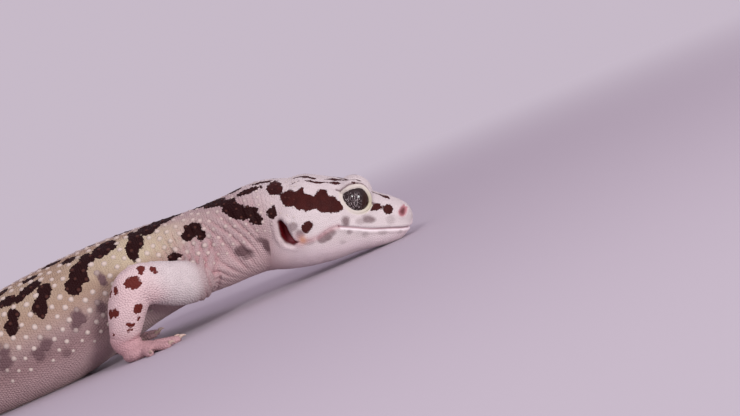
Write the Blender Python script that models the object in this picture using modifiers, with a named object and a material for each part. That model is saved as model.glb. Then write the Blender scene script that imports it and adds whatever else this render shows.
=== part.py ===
"""Leopard gecko, life size, as a still museum model lying on its belly.

Metres, +Z up, +X towards the head, +Y to the animal's left. The origin is the middle of the flat
under the belly, on which the animal rests.

The animal is modelled whole: a lofted body, limbs and digits as tapered tubes, all merged into one
skin by a voxel remesh. It is then parted by thin cuts where a person would name its parts.
"""

import math

import bmesh
import bpy
import numpy as np
from mathutils import Matrix, Vector

MM = 0.001

# ---------------------------------------------------------------- driving sizes (millimetres)
GAP = 0.3  # the width of every cut that parts one piece from the next
FLOOR_CUT = 0.0  # the level of the small flats on which everything rests
VOXEL = 0.28  # the grid on which the pieces are merged
WHOLE_TRIANGLES = 40000  # what the merged skin is thinned to before it is parted
# About how many triangles each piece then keeps, by the start of its name.
TRIANGLES = {
    "head": 2050, "lower_jaw": 360, "neck": 400, "trunk": 1150, "tail_base": 360, "tail_middle": 280,
    "tail_tip": 160, "upper_arm": 200, "forearm": 130, "hand": 560, "thigh": 220, "shank": 130,
    "foot": 640,
}
# Colour and roughness of each piece, by the start of its name.
FINISHES = {
    "head": ((0.64, 0.54, 0.56), 0.50), "lower_jaw": ((0.60, 0.50, 0.54), 0.45),
    "neck": ((0.46, 0.34, 0.37), 0.55), "trunk": ((0.46, 0.35, 0.35), 0.55),
    "tail_base": ((0.48, 0.38, 0.37), 0.55), "tail_middle": ((0.48, 0.40, 0.40), 0.55),
    "tail_tip": ((0.50, 0.44, 0.45), 0.55), "upper_arm": ((0.62, 0.50, 0.55), 0.50),
    "forearm": ((0.63, 0.48, 0.50), 0.50), "hand": ((0.50, 0.34, 0.38), 0.50),
    "thigh": ((0.52, 0.42, 0.42), 0.55), "shank": ((0.58, 0.46, 0.48), 0.50),
    "foot": ((0.50, 0.36, 0.39), 0.50), "eye": ((0.08, 0.06, 0.06), 0.05),
}

# The head's own frame: its nose is at the mouth line's height, turned right and bowed.
NOSE = Vector((78.3, -0.4, 1.1))
HEAD_BOW = math.radians(23.4)
HEAD_TURN = math.radians(1.5)
HEAD_LEAN = 4.0  # degrees that the crown leans to the animal's right

EYE_BACK, EYE_SIDE, EYE_UP = 12.1, 4.75, 6.5  # the eyeball's middle, in the head's frame
EYE_RADIUS = 3.1

# Head sections, in the head's frame: back from the nose, half width, crown, widest level and throat
# over the mouth line, then how square the section is above and below its widest level (2 is an
# ellipse).
HEAD_SECTIONS = [
    (0.00, 0.45, 2.80, 2.20, 1.50, 2.0, 2.0),
    (0.35, 1.75, 3.80, 2.00, 0.60, 2.0, 2.0),
    (1.00, 2.95, 4.70, 1.70, -0.70, 2.0, 2.1),
    (2.10, 4.00, 5.50, 1.30, -2.10, 2.0, 2.2),
    (4.00, 5.05, 6.35, 1.00, -3.00, 2.0, 2.3),
    (6.60, 6.20, 7.20, 0.80, -3.70, 2.1, 2.4),
    (9.00, 7.20, 7.90, 0.70, -4.30, 2.2, 2.4),
    (11.7, 8.20, 9.40, 0.70, -5.00, 2.4, 2.4),
    (15.2, 9.40, 10.3, 0.60, -6.20, 2.5, 2.4),
    (19.0, 10.5, 10.8, 0.30, -7.30, 2.5, 2.3),
    (22.8, 11.2, 11.0, 0.10, -8.20, 2.4, 2.3),
    (26.2, 11.0, 10.6, 0.30, -8.80, 2.3, 2.2),
    (29.4, 9.90, 10.1, 0.80, -9.00, 2.2, 2.1),
]
# Neck, trunk and hip sections: along, across and height of the widest level, half width, top,
# bottom, and the same two roundnesses. A bottom under zero leaves a flat.
BODY_SECTIONS = [
    (44.0, 0.3, 13.6, 8.50, 22.7, 4.9, 2.1, 2.1),
    (38.5, 0.7, 13.0, 8.80, 22.8, 4.9, 2.1, 2.1),
    (31.5, 0.7, 12.3, 10.2, 23.4, 5.2, 2.1, 2.1),
    (23.0, 0.3, 11.6, 11.8, 24.1, 4.4, 2.2, 2.1),
    (12.0, -0.3, 10.9, 13.6, 24.4, 2.0, 2.2, 2.2),
    (2.00, -0.8, 10.3, 14.7, 24.0, -0.1, 2.2, 2.3),
    (-8.0, -0.9, 9.90, 15.1, 23.0, -0.6, 2.2, 2.4),
    (-18., -0.6, 9.60, 14.6, 21.6, -0.6, 2.2, 2.4),
    (-28., 0.1, 9.20, 12.9, 19.8, -0.4, 2.2, 2.3),
    (-36., 0.9, 8.70, 10.4, 17.7, 0.3, 2.2, 2.2),
    (-43., 1.6, 8.10, 8.60, 15.4, 1.0, 2.1, 2.1),
]
# The tail: how far behind the hips, half width, top and widest level. It lies along the floor.
TAIL_SECTIONS = [
    (6.00, 6.70, 12.9, 6.9),
    (11.0, 5.50, 11.2, 5.9),
    (18.0, 6.80, 11.9, 5.9),
    (27.0, 7.90, 12.3, 5.9),
    (37.0, 7.50, 11.2, 5.4),
    (49.0, 6.10, 9.10, 4.4),
    (62.0, 4.40, 6.80, 3.3),
    (75.0, 3.00, 4.70, 2.3),
    (87.0, 1.80, 2.90, 1.4),
    (94.0, 0.95, 1.60, 0.8),
    (96.5, 0.40, 0.90, 0.5),
]
TAIL_BOTTOM = -0.35
TAIL_START_TURN = math.radians(-8.0)  # the tail's heading at the hips, from straight back
TAIL_BEND = math.radians(74.0)  # how far it has swung to the animal's left where it bends most

# Limbs: the middle line from the body outwards, with the radius at each point.
FRONT_LIMB = {
    "upper": [(34.0, -6.0, 9.6, 5.0), (29.4, -12.2, 10.7, 4.6), (25.6, -16.0, 12.8, 4.3)],
    "elbow": (22.2, -17.8, 13.7, 4.1),
    "lower": [(19.6, -17.8, 11.0, 4.0), (17.2, -17.3, 7.2, 3.4)],
    "wrist": (15.6, -16.9, 4.3, 2.6),
}
REAR_LIMB = {
    "upper": [(-41.0, -2.5, 8.2, 5.3), (-37.0, -9.6, 8.8, 5.3), (-33.0, -15.6, 9.6, 4.9)],
    "elbow": (-29.4, -20.6, 9.4, 4.2),
    "lower": [(-33.4, -24.0, 7.6, 4.0), (-37.6, -27.2, 5.2, 3.3)],
    "wrist": (-40.6, -29.4, 3.4, 2.6),
}
RING = 48  # points round a body section

BROW = (12.2, 4.4, 6.6)  # the middle of each brow, in the head's frame
BROW_RADII = (3.95, 4.25, 4.0)
LIDS = (2.75, 2.3)  # half the length and height of the opening between the lids
LID_SLANT = 14  # degrees that the opening's front is lower than its back
GAZE = (8, 8)  # degrees that the eye looks forward and up
NOSTRIL, NOSTRIL_RADII, NOSTRIL_TILT = (1.9, 3.3, 3.9), (0.45, 0.7, 0.7), 35
EAR, EAR_RADII, EAR_TILT = (26.1, 11.0, 0.6), (0.9, 1.8, 2.6), -25
# The mouth, then down behind the jaw: back from the nose and up, in the head's frame.
MOUTH_LINE = [
    (-3.0, 0.3), (0.5, 0.3), (2.3, 0.4), (4.6, 0.5), (9.0, 0.65), (12.4, 1.1), (15.3, 1.4), (17.4, 0.7),
    (19.4, -2.0), (22.5, -14.0),
]
NECK_CUT = 29.8  # back from the nose
SHOULDER_CUT = 38.6
TAIL_CUTS = (7.0, 37.0, 69.0)  # behind the hips
TAIL_CUT_HEIGHT, TAIL_CUT_RADIUS = 5, 13
ELBOW_REACH = {"front": 6.0, "rear": 9.0}  # radius of the cut through an elbow or a knee
WRIST_REACH = 5.6
ROOT_CUTS = {"front": (41.0, 17.0), "rear": (-24.0, -51.0)}  # from and to, along the body
ROOT_GAP = (0.25, 0.55)  # the root cut's faces, out from the flank
DIGIT_LIFT = 0.62  # the height of a digit's middle line over the floor, in digit radii


# ---------------------------------------------------------------- small helpers
def smooth(xs, table, at):
    """Columns of a table read at the places `at`, along a smooth curve through its rows."""
    xs, table, at = np.asarray(xs, float), np.asarray(table, float), np.asarray(at, float)
    steps = np.diff(xs)
    rises = np.diff(table, axis=0) / steps[:, None]
    slopes = np.vstack([rises[:1], rises, rises[-1:]])
    before = np.concatenate([steps[:1], steps])[:, None]
    after = np.concatenate([steps, steps[-1:]])[:, None]
    slopes = (slopes[:-1] * after + slopes[1:] * before) / (before + after)
    k = np.clip(np.searchsorted(xs, at, side="right") - 1, 0, len(xs) - 2)
    t = ((at - xs[k]) / steps[k])[:, None]
    h = steps[k][:, None]
    return (
        table[k] * (1 + 2 * t) * (1 - t) ** 2
        + slopes[k] * h * t * (1 - t) ** 2
        + table[k + 1] * t**2 * (3 - 2 * t)
        + slopes[k + 1] * h * t**2 * (t - 1)
    )


def head_axes():
    """The head's directions in the row frame: back, left and up."""
    turn = Matrix.Rotation(-HEAD_TURN, 3, "Z") @ Matrix.Rotation(HEAD_BOW, 3, "Y")
    turn = turn @ Matrix.Rotation(math.radians(HEAD_LEAN), 3, "X")
    return turn @ Vector((-1, 0, 0)), turn @ Vector((0, 1, 0)), turn @ Vector((0, 0, 1))


def on_head(back, left, up):
    """A point of the head's frame, in the row frame, in millimetres."""
    b, l, u = head_axes()
    return NOSE + b * back + l * left + u * up


def linked(name, mesh, collection):
    obj = bpy.data.objects.new(name, mesh)
    collection.objects.link(obj)
    return obj


def mesh_of(obj):
    """The mesh that an object's curve or modifiers make, in the row frame, and the object removed."""
    graph = bpy.context.evaluated_depsgraph_get()
    mesh = bpy.data.meshes.new_from_object(obj.evaluated_get(graph), depsgraph=graph)
    mesh.transform(obj.matrix_world)
    bpy.data.objects.remove(obj)
    return mesh


# ---------------------------------------------------------------- the lofted body
def tail_path():
    """Middle-line points of the tail on the floor plan, at each of its sections."""
    start = Vector((BODY_SECTIONS[-1][0], BODY_SECTIONS[-1][1]))
    points, at, travelled = [], start.copy(), 0.0
    length = TAIL_SECTIONS[-1][0]
    for behind, *_ in TAIL_SECTIONS:
        while travelled < behind - 1e-6:
            step = min(0.5, behind - travelled)
            share = (travelled + step / 2) / length
            heading = TAIL_START_TURN + TAIL_BEND * math.sin(1.15 * math.pi * share**1.3) * 0.75
            at += Vector((-math.cos(heading), math.sin(heading))) * step
            travelled += step
        points.append(at.copy())
    return points


def body_stations():
    """One row for each section, nose to tail tip: x, y, z, half width, rise, drop, two roundnesses, lean."""
    rows = []
    for back, half, crown, widest, throat, above, below in HEAD_SECTIONS:
        place = on_head(back, 0, widest)
        rows.append((*place, half, crown - widest, widest - throat, above, below, HEAD_LEAN))
    for x, y, widest, half, top, bottom, above, below in BODY_SECTIONS:
        rows.append((x, y, widest, half, top - widest, widest - bottom, above, below, 0.0))
    for (behind, half, top, widest), (x, y) in zip(TAIL_SECTIONS, tail_path()):
        rows.append((x, y, widest, half, top - widest, widest - TAIL_BOTTOM, 2.0, 2.1, 0.0))
    return np.array(rows)


def section_rings(spacing):
    """Rings of points along the body, a section every `spacing` millimetres and closer at the nose."""
    rows = body_stations()
    along = np.concatenate([[0], np.cumsum(np.linalg.norm(np.diff(rows[:, :3], axis=0), axis=1))])
    nose = np.array([0, 0.15, 0.35, 0.65, 1.0, 1.5, 2.2])
    at = np.concatenate([nose, np.linspace(3.0, along[-1], int(along[-1] / spacing))])
    fine = smooth(along, rows, at)
    centre = fine[:, :3]
    forward = -np.gradient(centre, at, axis=0)
    forward[:9] = -np.array(head_axes()[0])
    forward /= np.linalg.norm(forward, axis=1)[:, None]
    left = np.cross([0, 0, 1], forward)
    left /= np.linalg.norm(left, axis=1)[:, None]
    up = np.cross(forward, left)
    lean = np.radians(fine[:, 8])[:, None]
    left, up = left * np.cos(lean) + up * np.sin(lean), up * np.cos(lean) - left * np.sin(lean)
    angle = np.arange(RING) * 2 * math.pi / RING
    rings = []
    for c, l, u, row in zip(centre, left, up, fine):
        half, rise, drop, above, below = row[3:8]
        power = np.where(np.sin(angle) >= 0, 2 / above, 2 / below)
        tall = np.where(np.sin(angle) >= 0, rise, drop)
        side = half * np.sign(np.cos(angle)) * np.abs(np.cos(angle)) ** power
        high = tall * np.sign(np.sin(angle)) * np.abs(np.sin(angle)) ** power
        rings.append(c + side[:, None] * l + high[:, None] * u)
    return rings


def loft(name, rings, collection):
    """A closed skin over a row of rings with equal numbers of points."""
    bm = bmesh.new()
    loops = [[bm.verts.new(Vector(p) * MM) for p in ring] for ring in rings]
    for front, back in zip(loops, loops[1:]):
        for i in range(len(front)):
            j = (i + 1) % len(front)
            bm.faces.new((front[i], front[j], back[j], back[i]))
    bm.faces.new(loops[0][::-1])
    bm.faces.new(loops[-1])
    bmesh.ops.recalc_face_normals(bm, faces=bm.faces)
    mesh = bpy.data.meshes.new(name)
    bm.to_mesh(mesh)
    bm.free()
    return linked(name, mesh, collection)


# ---------------------------------------------------------------- limbs and digits
def tube(name, points, collection, resolution=5):
    """A tapered tube through (x, y, z, radius) points, with closed ends."""
    curve = bpy.data.curves.new(name, "CURVE")
    curve.dimensions = "3D"
    curve.bevel_depth = MM
    curve.bevel_resolution = resolution
    curve.resolution_u = 8
    curve.use_fill_caps = True
    spline = curve.splines.new("BEZIER")
    spline.bezier_points.add(len(points) - 1)
    spline.radius_interpolation = "CARDINAL"
    for knot, (x, y, z, radius) in zip(spline.bezier_points, points):
        knot.co = Vector((x, y, z)) * MM
        knot.radius = radius
        knot.handle_left_type = knot.handle_right_type = "AUTO"
    return linked(name, mesh_of(linked(name, curve, collection)), collection)


def ball(name, centre, radii, turn, collection):
    """An ellipsoid whose axes are `radii`, turned about the vertical."""
    bm = bmesh.new()
    bmesh.ops.create_uvsphere(bm, u_segments=20, v_segments=12, radius=MM)
    mesh = bpy.data.meshes.new(name)
    bm.to_mesh(mesh)
    bm.free()
    place = Matrix.Translation(Vector(centre) * MM) @ Matrix.Rotation(turn, 4, "Z")
    mesh.transform(place @ Matrix.Diagonal((*radii, 1)))
    return linked(name, mesh, collection)


def digit(name, root, heading, length, radius, collection):
    """A toe: thick root, a raised knuckle, a slim end on the floor and a short claw."""
    ahead = Vector((math.cos(heading), math.sin(heading), 0))
    floor_line = radius * DIGIT_LIFT
    shape = [
        (0.00, floor_line + 0.55, 1.25),
        (0.30, floor_line + 0.65, 1.05),
        (0.62, floor_line + 0.25, 1.00),
        (0.88, floor_line, 0.92),
        (1.00, floor_line, 0.70),
        (1.12, floor_line + 0.20, 0.56),
        (1.24, floor_line - 0.05, 0.46),
    ]
    points = []
    for share, height, thick in shape:
        place = Vector((root[0], root[1], 0)) + ahead * (length * share)
        points.append((place.x, place.y, height, radius * thick))
    return tube(name, points, collection, resolution=3)


def foot(name, wrist, heading, palm, digits, side, collection):
    """A palm or sole with its digits. Angles open towards the animal's outside, `side` is -1 on its right."""
    ahead = Vector((math.cos(heading), side * math.sin(heading), 0))
    middle = Vector((wrist[0], wrist[1] * side * -1, 0)) + ahead * palm[0] * 0.62
    middle.z = palm[2] * 0.72
    pieces = [ball(name, middle, palm, math.atan2(ahead.y, ahead.x), collection)]
    for i, (spread, length, radius) in enumerate(digits):
        angle = math.atan2(ahead.y, ahead.x) + side * math.radians(spread)
        root = middle + Vector((math.cos(angle) * palm[0], math.sin(angle) * palm[1], 0)) * 0.62
        pieces.append(digit(f"{name}_{i}", root, angle, length, radius, collection))
    return pieces


def limb_points(limb, side, root_y, shift):
    """A limb's tube points on one side: its root moved across by `root_y` and its end by `shift`."""
    route = [*limb["upper"], limb["elbow"], *limb["lower"], limb["wrist"]]
    points = []
    for i, (x, y, z, radius) in enumerate(route):
        share = i / (len(route) - 1)
        across = (y + shift[1] * share) * -side + root_y * (1 - share)
        points.append((x + shift[0] * share, across, z, radius))
    return points


LIMBS = {
    # name: route, side, the root's shift across, the foot's shift, heading of the foot, its kind
    "front_right": (FRONT_LIMB, -1, 0.5, (0.0, 0.0), 0.10, "hand"),
    "front_left": (FRONT_LIMB, 1, 0.5, (-7.5, -1.2), 0.30, "hand"),
    "rear_right": (REAR_LIMB, -1, 1.4, (0.0, 0.0), 0.45, "sole"),
    "rear_left": (REAR_LIMB, 1, 1.4, (-3.0, -1.0), 0.75, "sole"),
}
FEET = {
    "hand": (
        (3.7, 3.3, 1.75),
        [(-62, 4.0, 0.86), (-30, 5.4, 0.88), (0, 6.0, 0.88), (28, 5.4, 0.88), (62, 4.2, 0.84)],
    ),
    "sole": (
        (4.9, 3.6, 1.75),
        [(-58, 4.8, 0.90), (-28, 7.0, 0.92), (-4, 8.6, 0.92), (20, 9.2, 0.92), (66, 6.6, 0.88)],
    ),
}


def limbs(collection):
    for name, (route, side, root_y, shift, heading, kind) in LIMBS.items():
        points = limb_points(route, side, root_y, shift)
        palm, digits = FEET[kind]
        wrist = points[-1]
        ahead = Vector((math.cos(heading), side * math.sin(heading), 0))
        end = Vector(wrist[:3]) + ahead * 2.0
        points.append((end.x, end.y, 2.0, wrist[3] * 0.86))
        tube(name, points, collection)
        foot(name + "_foot", (wrist[0], -wrist[1] * side, 0), heading, palm, digits, side, collection)


# ---------------------------------------------------------------- one skin from all of it
def brows(collection):
    """The raised rim over each eye, out of which the socket is cut."""
    back, left, up = head_axes()
    turn = Matrix((-back, left, up)).transposed().to_4x4()
    for side in (-1, 1):
        place = Matrix.Translation(on_head(BROW[0], side * BROW[1], BROW[2]) * MM) @ turn
        brow = ball("brow", (0, 0, 0), BROW_RADII, 0, collection)
        brow.data.transform(place)


def merged(collection):
    """Every object of the collection as one closed skin, smoothed, thinned and set flat on the floor."""
    body = collection.objects[0]
    bm = bmesh.new()
    for obj in list(collection.objects):
        bm.from_mesh(obj.data)
        if obj is not body:
            bpy.data.objects.remove(obj)
    bm.to_mesh(body.data)
    bm.free()
    remesh = body.modifiers.new("merge", "REMESH")
    remesh.mode = "VOXEL"
    remesh.voxel_size = VOXEL * MM
    soften = body.modifiers.new("soften", "SMOOTH")
    soften.factor, soften.iterations = 0.5, 4
    body = linked("body", mesh_of(body), collection)
    thin = body.modifiers.new("thin", "DECIMATE")
    body.data.update()
    thin.ratio = WHOLE_TRIANGLES / (2 * len(body.data.polygons))
    return linked("body", mesh_of(body), collection)


# ---------------------------------------------------------------- cutters
def disc(name, centre, normal, radius, collection, thickness=GAP, along=None, stretch=1.0):
    """A thin round slab: whatever it crosses is parted by its thickness."""
    bm = bmesh.new()
    bmesh.ops.create_cone(
        bm, cap_ends=True, segments=32, radius1=radius * MM, radius2=radius * MM, depth=thickness * MM
    )
    mesh = bpy.data.meshes.new(name)
    bm.to_mesh(mesh)
    bm.free()
    mesh.transform(Matrix.Diagonal((stretch, 1, 1, 1)))
    turn = Vector(normal).normalized().to_track_quat("Z", "X").to_matrix().to_4x4()
    mesh.transform(Matrix.Translation(Vector(centre) * MM) @ turn)
    return linked(name, mesh, collection)


def jaw_cut(collection):
    """A thin bent slab through the head: along the mouth, then down behind the jaw."""
    half = GAP / 2
    line = MOUTH_LINE
    upper, lower = [], []
    for i, (back, up) in enumerate(line):
        before, after = line[max(i - 1, 0)], line[min(i + 1, len(line) - 1)]
        run = Vector((after[0] - before[0], after[1] - before[1])).normalized()
        upper.append((back + run.y * -half, up + run.x * half))
        lower.append((back + run.y * half, up - run.x * half))
    profile = upper + lower[::-1]
    bm = bmesh.new()
    rings = [[bm.verts.new(on_head(back, side * 16, up) * MM) for back, up in profile] for side in (-1, 1)]
    for i in range(len(profile)):
        j = (i + 1) % len(profile)
        bm.faces.new((rings[0][i], rings[0][j], rings[1][j], rings[1][i]))
    count = len(line)
    for ring in rings:
        for i in range(count - 1):
            bm.faces.new((ring[i], ring[i + 1], ring[2 * count - 2 - i], ring[2 * count - 1 - i]))
    bmesh.ops.recalc_face_normals(bm, faces=bm.faces)
    mesh = bpy.data.meshes.new("jaw_cut")
    bm.to_mesh(mesh)
    bm.free()
    return linked("jaw_cut", mesh, collection)


def head_pit(name, place, radii, tilt, collection):
    """An ellipsoid that digs a pit in the head: `tilt` leans its long axis back, in degrees."""
    back, left, up = head_axes()
    turn = Matrix((-back, left, up)).transposed().to_4x4()
    pit = ball(name, (0, 0, 0), radii, 0, collection)
    lean = Matrix.Rotation(math.radians(tilt), 4, "Y")
    pit.data.transform(Matrix.Translation(on_head(*place) * MM) @ turn @ lean)
    return pit


def root_cut(name, side, collection):
    """A thin sheet wrapped round one flank, which parts a limb from the body along the body's own surface."""
    ahead, behind = ROOT_CUTS[name.split("_")[0]]
    rings = [r for r in section_rings(1.0) if behind <= r[:, 0].mean() <= ahead]
    reach = int(RING * 0.21)
    start = 0 if side == 1 else RING // 2
    sheets = []
    for gap in ROOT_GAP:
        rows = []
        for ring in rings:
            middle = ring.mean(axis=0)
            way = ring - middle
            way /= np.linalg.norm(way, axis=1)[:, None]
            wide = ring + way * gap
            rows.append([wide[(start + k) % RING] for k in range(-reach, reach + 1)])
        sheets.append(rows)
    bm = bmesh.new()
    inner, outer = ([[bm.verts.new(Vector(p) * MM) for p in row] for row in rows] for rows in sheets)
    last_row, last = len(rings) - 1, 2 * reach
    for rows in (inner, outer):
        for a, b in zip(rows, rows[1:]):
            for k in range(last):
                bm.faces.new((a[k], a[k + 1], b[k + 1], b[k]))
    for i in range(last_row):
        for k in (0, last):
            bm.faces.new((inner[i][k], inner[i + 1][k], outer[i + 1][k], outer[i][k]))
    for k in range(last):
        for i in (0, last_row):
            bm.faces.new((inner[i][k], inner[i][k + 1], outer[i][k + 1], outer[i][k]))
    bmesh.ops.recalc_face_normals(bm, faces=bm.faces)
    mesh = bpy.data.meshes.new(name + "_root")
    bm.to_mesh(mesh)
    bm.free()
    return linked(name + "_root", mesh, collection)


def lid_opening(side, collection):
    """The oval between the lids, as a short rod along the eye's line of sight."""
    bm = bmesh.new()
    bmesh.ops.create_cone(bm, cap_ends=True, segments=28, radius1=MM, radius2=MM, depth=8 * MM)
    mesh = bpy.data.meshes.new("lids")
    bm.to_mesh(mesh)
    bm.free()
    mesh.transform(Matrix.Translation((0, 0, 4 * MM)) @ Matrix.Diagonal((LIDS[0], LIDS[1], 1, 1)))
    back, left, up = head_axes()
    forward, lift = (math.radians(a) for a in GAZE)
    sight = left * side * math.cos(forward) * math.cos(lift) - back * math.sin(forward) + up * math.sin(lift)
    long_way = -back * math.cos(math.radians(LID_SLANT)) - up * math.sin(math.radians(LID_SLANT))
    long_way = (long_way - sight * long_way.dot(sight)).normalized()
    turn = Matrix((long_way, sight.cross(long_way), sight)).transposed().to_4x4()
    mesh.transform(Matrix.Translation(on_head(EYE_BACK, side * EYE_SIDE, EYE_UP) * MM) @ turn)
    return linked("lids", mesh, collection)


def joint_cuts(collection):
    """Every cut between two named pieces."""
    back = head_axes()[0]
    cuts = [
        disc("neck_cut", on_head(NECK_CUT, 0, 1.5), back, 16, collection),
        disc("shoulder_cut", (SHOULDER_CUT, 0, 13), (1, 0, 0), 16, collection),
        jaw_cut(collection),
    ]
    path = tail_path()
    behind = np.array([row[0] for row in TAIL_SECTIONS])
    for i, place in enumerate(TAIL_CUTS):
        x, y = (float(np.interp(place + s, behind, [p[k] for p in path])) for k, s in ((0, 0), (1, 0)))
        ahead = [float(np.interp(place - 2, behind, [p[k] for p in path])) for k in (0, 1)]
        after = [float(np.interp(place + 2, behind, [p[k] for p in path])) for k in (0, 1)]
        way = (ahead[0] - after[0], ahead[1] - after[1], 0)
        cuts.append(disc(f"tail_cut_{i}", (x, y, TAIL_CUT_HEIGHT), way, TAIL_CUT_RADIUS, collection))
    for name, (route, side, root_y, shift, _, _) in LIMBS.items():
        points = limb_points(route, side, root_y, shift)
        count = len(route["upper"])
        cuts.append(root_cut(name, side, collection))
        elbow = Vector(points[count][:3])
        upper = (Vector(points[count - 1][:3]) - elbow).normalized()
        lower = (Vector(points[count + 1][:3]) - elbow).normalized()
        cuts.append(disc(name + "_elbow", elbow, upper - lower, ELBOW_REACH[name.split("_")[0]], collection))
        wrist, above = Vector(points[-1][:3]), Vector(points[-2][:3])
        way = (above - wrist).normalized() + Vector((0, 0, 1))
        cuts.append(disc(name + "_wrist", wrist + (above - wrist) * 0.85, way, WRIST_REACH, collection))
    return cuts


def shells(mesh, collection):
    """An object for each loose piece of a mesh; crumbs of a few facets are left out."""
    bm = bmesh.new()
    bm.from_mesh(mesh)
    bm.verts.ensure_lookup_table()
    seen, found = set(), []
    for start in bm.verts:
        if start.index in seen:
            continue
        shell, queue = [], [start]
        seen.add(start.index)
        while queue:
            here = queue.pop()
            shell.append(here)
            for edge in here.link_edges:
                other = edge.other_vert(here)
                if other.index not in seen:
                    seen.add(other.index)
                    queue.append(other)
        piece = bmesh.new()
        copies = {v: piece.verts.new(v.co) for v in shell}
        for face in {f for v in shell for f in v.link_faces}:
            piece.faces.new([copies[v] for v in face.verts])
        bmesh.ops.recalc_face_normals(piece, faces=piece.faces)
        if piece.calc_volume(signed=True) > 0.5 * MM**3:
            out = bpy.data.meshes.new("piece")
            piece.to_mesh(out)
            found.append(linked("piece", out, collection))
        piece.free()
    bm.free()
    return found


def reach(obj):
    """The corners of an object's own box."""
    cloud = np.array([v.co for v in obj.data.vertices])
    return cloud.min(axis=0), cloud.max(axis=0)


def difference(body, cutters, collection):
    """The pieces that are left of the body when every cutter is taken from it."""
    pieces = [body]
    for cutter in cutters:
        low, high = reach(cutter)
        kept = []
        for piece in pieces:
            least, most = reach(piece)
            if (least > high).any() or (most < low).any():
                kept.append(piece)
                continue
            step = piece.modifiers.new(cutter.name, "BOOLEAN")
            step.operation, step.solver, step.object = "DIFFERENCE", "EXACT", cutter
            left = mesh_of(piece)
            kept.extend(shells(left, collection))
        bpy.data.objects.remove(cutter)
        pieces = kept
    return pieces


# ---------------------------------------------------------------- names
def name_points():
    """A point within each named piece."""
    points = {
        "head": on_head(16, 0, 5),
        "lower_jaw": on_head(9, 0, -2),
        "neck": Vector((43, 0, 14)),
        "trunk": Vector((0, 0, 11)),
    }
    path = tail_path()
    behind = [row[0] for row in TAIL_SECTIONS]
    for name, place in (("tail_base", 22), ("tail_middle", 50), ("tail_tip", 84)):
        points[name] = Vector([float(np.interp(place, behind, [p[k] for p in path])) for k in (0, 1)] + [3.0])
    for name, (route, side, root_y, shift, heading, kind) in LIMBS.items():
        limb = limb_points(route, side, root_y, shift)
        count = len(route["upper"])
        end, tag = name.split("_")
        joint = {"front": ("upper_arm", "forearm", "hand"), "rear": ("thigh", "shank", "foot")}[end]
        hand = Vector(limb[-1][:3]) + Vector((math.cos(heading), side * math.sin(heading), 0)) * 3
        hand.z = 1.2
        points[f"{joint[0]}_{tag}"] = (Vector(limb[count - 1][:3]) + Vector(limb[count][:3])) / 2
        points[f"{joint[1]}_{tag}"] = Vector(limb[count + 1][:3])
        points[f"{joint[2]}_{tag}"] = hand
    return points


def thinned(obj, collection):
    """The piece with about as many triangles as TRIANGLES gives it."""
    bm = bmesh.new()
    bm.from_mesh(obj.data)
    bmesh.ops.triangulate(bm, faces=bm.faces)
    bm.to_mesh(obj.data)
    bm.free()
    budget = next(count for start, count in TRIANGLES.items() if obj.name.startswith(start))
    thin = obj.modifiers.new("thin", "DECIMATE")
    thin.ratio = min(1.0, budget / len(obj.data.polygons))
    return linked(obj.name, mesh_of(obj), collection)


def on_the_floor(obj):
    """Cuts off what is under the floor and closes the piece with a flat."""
    bm = bmesh.new()
    bm.from_mesh(obj.data)
    whole = bm.verts[:] + bm.edges[:] + bm.faces[:]
    cut = bmesh.ops.bisect_plane(
        bm, geom=whole, plane_co=(0, 0, FLOOR_CUT * MM), plane_no=(0, 0, -1), clear_outer=True, dist=1e-7
    )
    rim = [e for e in cut["geom_cut"] if isinstance(e, bmesh.types.BMEdge)]
    if rim:
        bmesh.ops.triangle_fill(bm, edges=rim, use_beauty=True)
    bmesh.ops.recalc_face_normals(bm, faces=bm.faces)
    bm.to_mesh(obj.data)
    bm.free()


def name_pieces(pieces, collection):
    """Names each piece after the label point that is nearest to it, and finishes it."""
    points = name_points()
    for piece in pieces:
        cloud = np.array([v.co for v in piece.data.vertices]) / MM
        middle = (cloud.min(axis=0) + cloud.max(axis=0)) / 2
        name = min(points, key=lambda n: np.linalg.norm(np.array(points[n]) - middle))
        del points[name]
        piece.name = piece.data.name = name
        on_the_floor(thinned(piece, collection))
    if points:
        raise ValueError(f"no piece for {sorted(points)}")


def paint(collection):
    """Gives every piece a material of its own, with the colour and finish that the animal has there."""
    for obj in collection.objects:
        if obj.hide_render:
            continue
        colour, roughness = next(finish for start, finish in FINISHES.items() if obj.name.startswith(start))
        material = bpy.data.materials.new(obj.name)
        material.use_nodes = True
        shader = material.node_tree.nodes["Principled BSDF"]
        shader.inputs["Base Color"].default_value = (*colour, 1.0)
        shader.inputs["Roughness"].default_value = roughness
        shader.inputs["Metallic"].default_value = 0.0
        obj.data.materials.clear()
        obj.data.materials.append(material)


def main():
    for obj in list(bpy.data.objects):
        bpy.data.objects.remove(obj)
    parts = bpy.data.collections.new("leopard_gecko")
    bpy.context.scene.collection.children.link(parts)
    loft("body", section_rings(1.0), parts)
    limbs(parts)
    brows(parts)
    body = merged(parts)
    cutters = joint_cuts(parts)
    for side in (-1, 1):
        cutters.append(lid_opening(side, parts))
        eye_middle = on_head(EYE_BACK, side * EYE_SIDE, EYE_UP)
        cutters.append(ball("socket", eye_middle, (EYE_RADIUS + GAP,) * 3, 0, parts))
        cutters.append(head_pit("ear", (EAR[0], side * EAR[1], EAR[2]), EAR_RADII, EAR_TILT, parts))
        nostril_middle = (NOSTRIL[0], side * NOSTRIL[1], NOSTRIL[2])
        cutters.append(head_pit("nostril", nostril_middle, NOSTRIL_RADII, NOSTRIL_TILT, parts))
    name_pieces(difference(body, cutters, parts), parts)
    for side, name in ((-1, "eye_right"), (1, "eye_left")):
        ball(name, on_head(EYE_BACK, side * EYE_SIDE, EYE_UP), (EYE_RADIUS,) * 3, 0, parts)
    paint(parts)


main()
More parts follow.
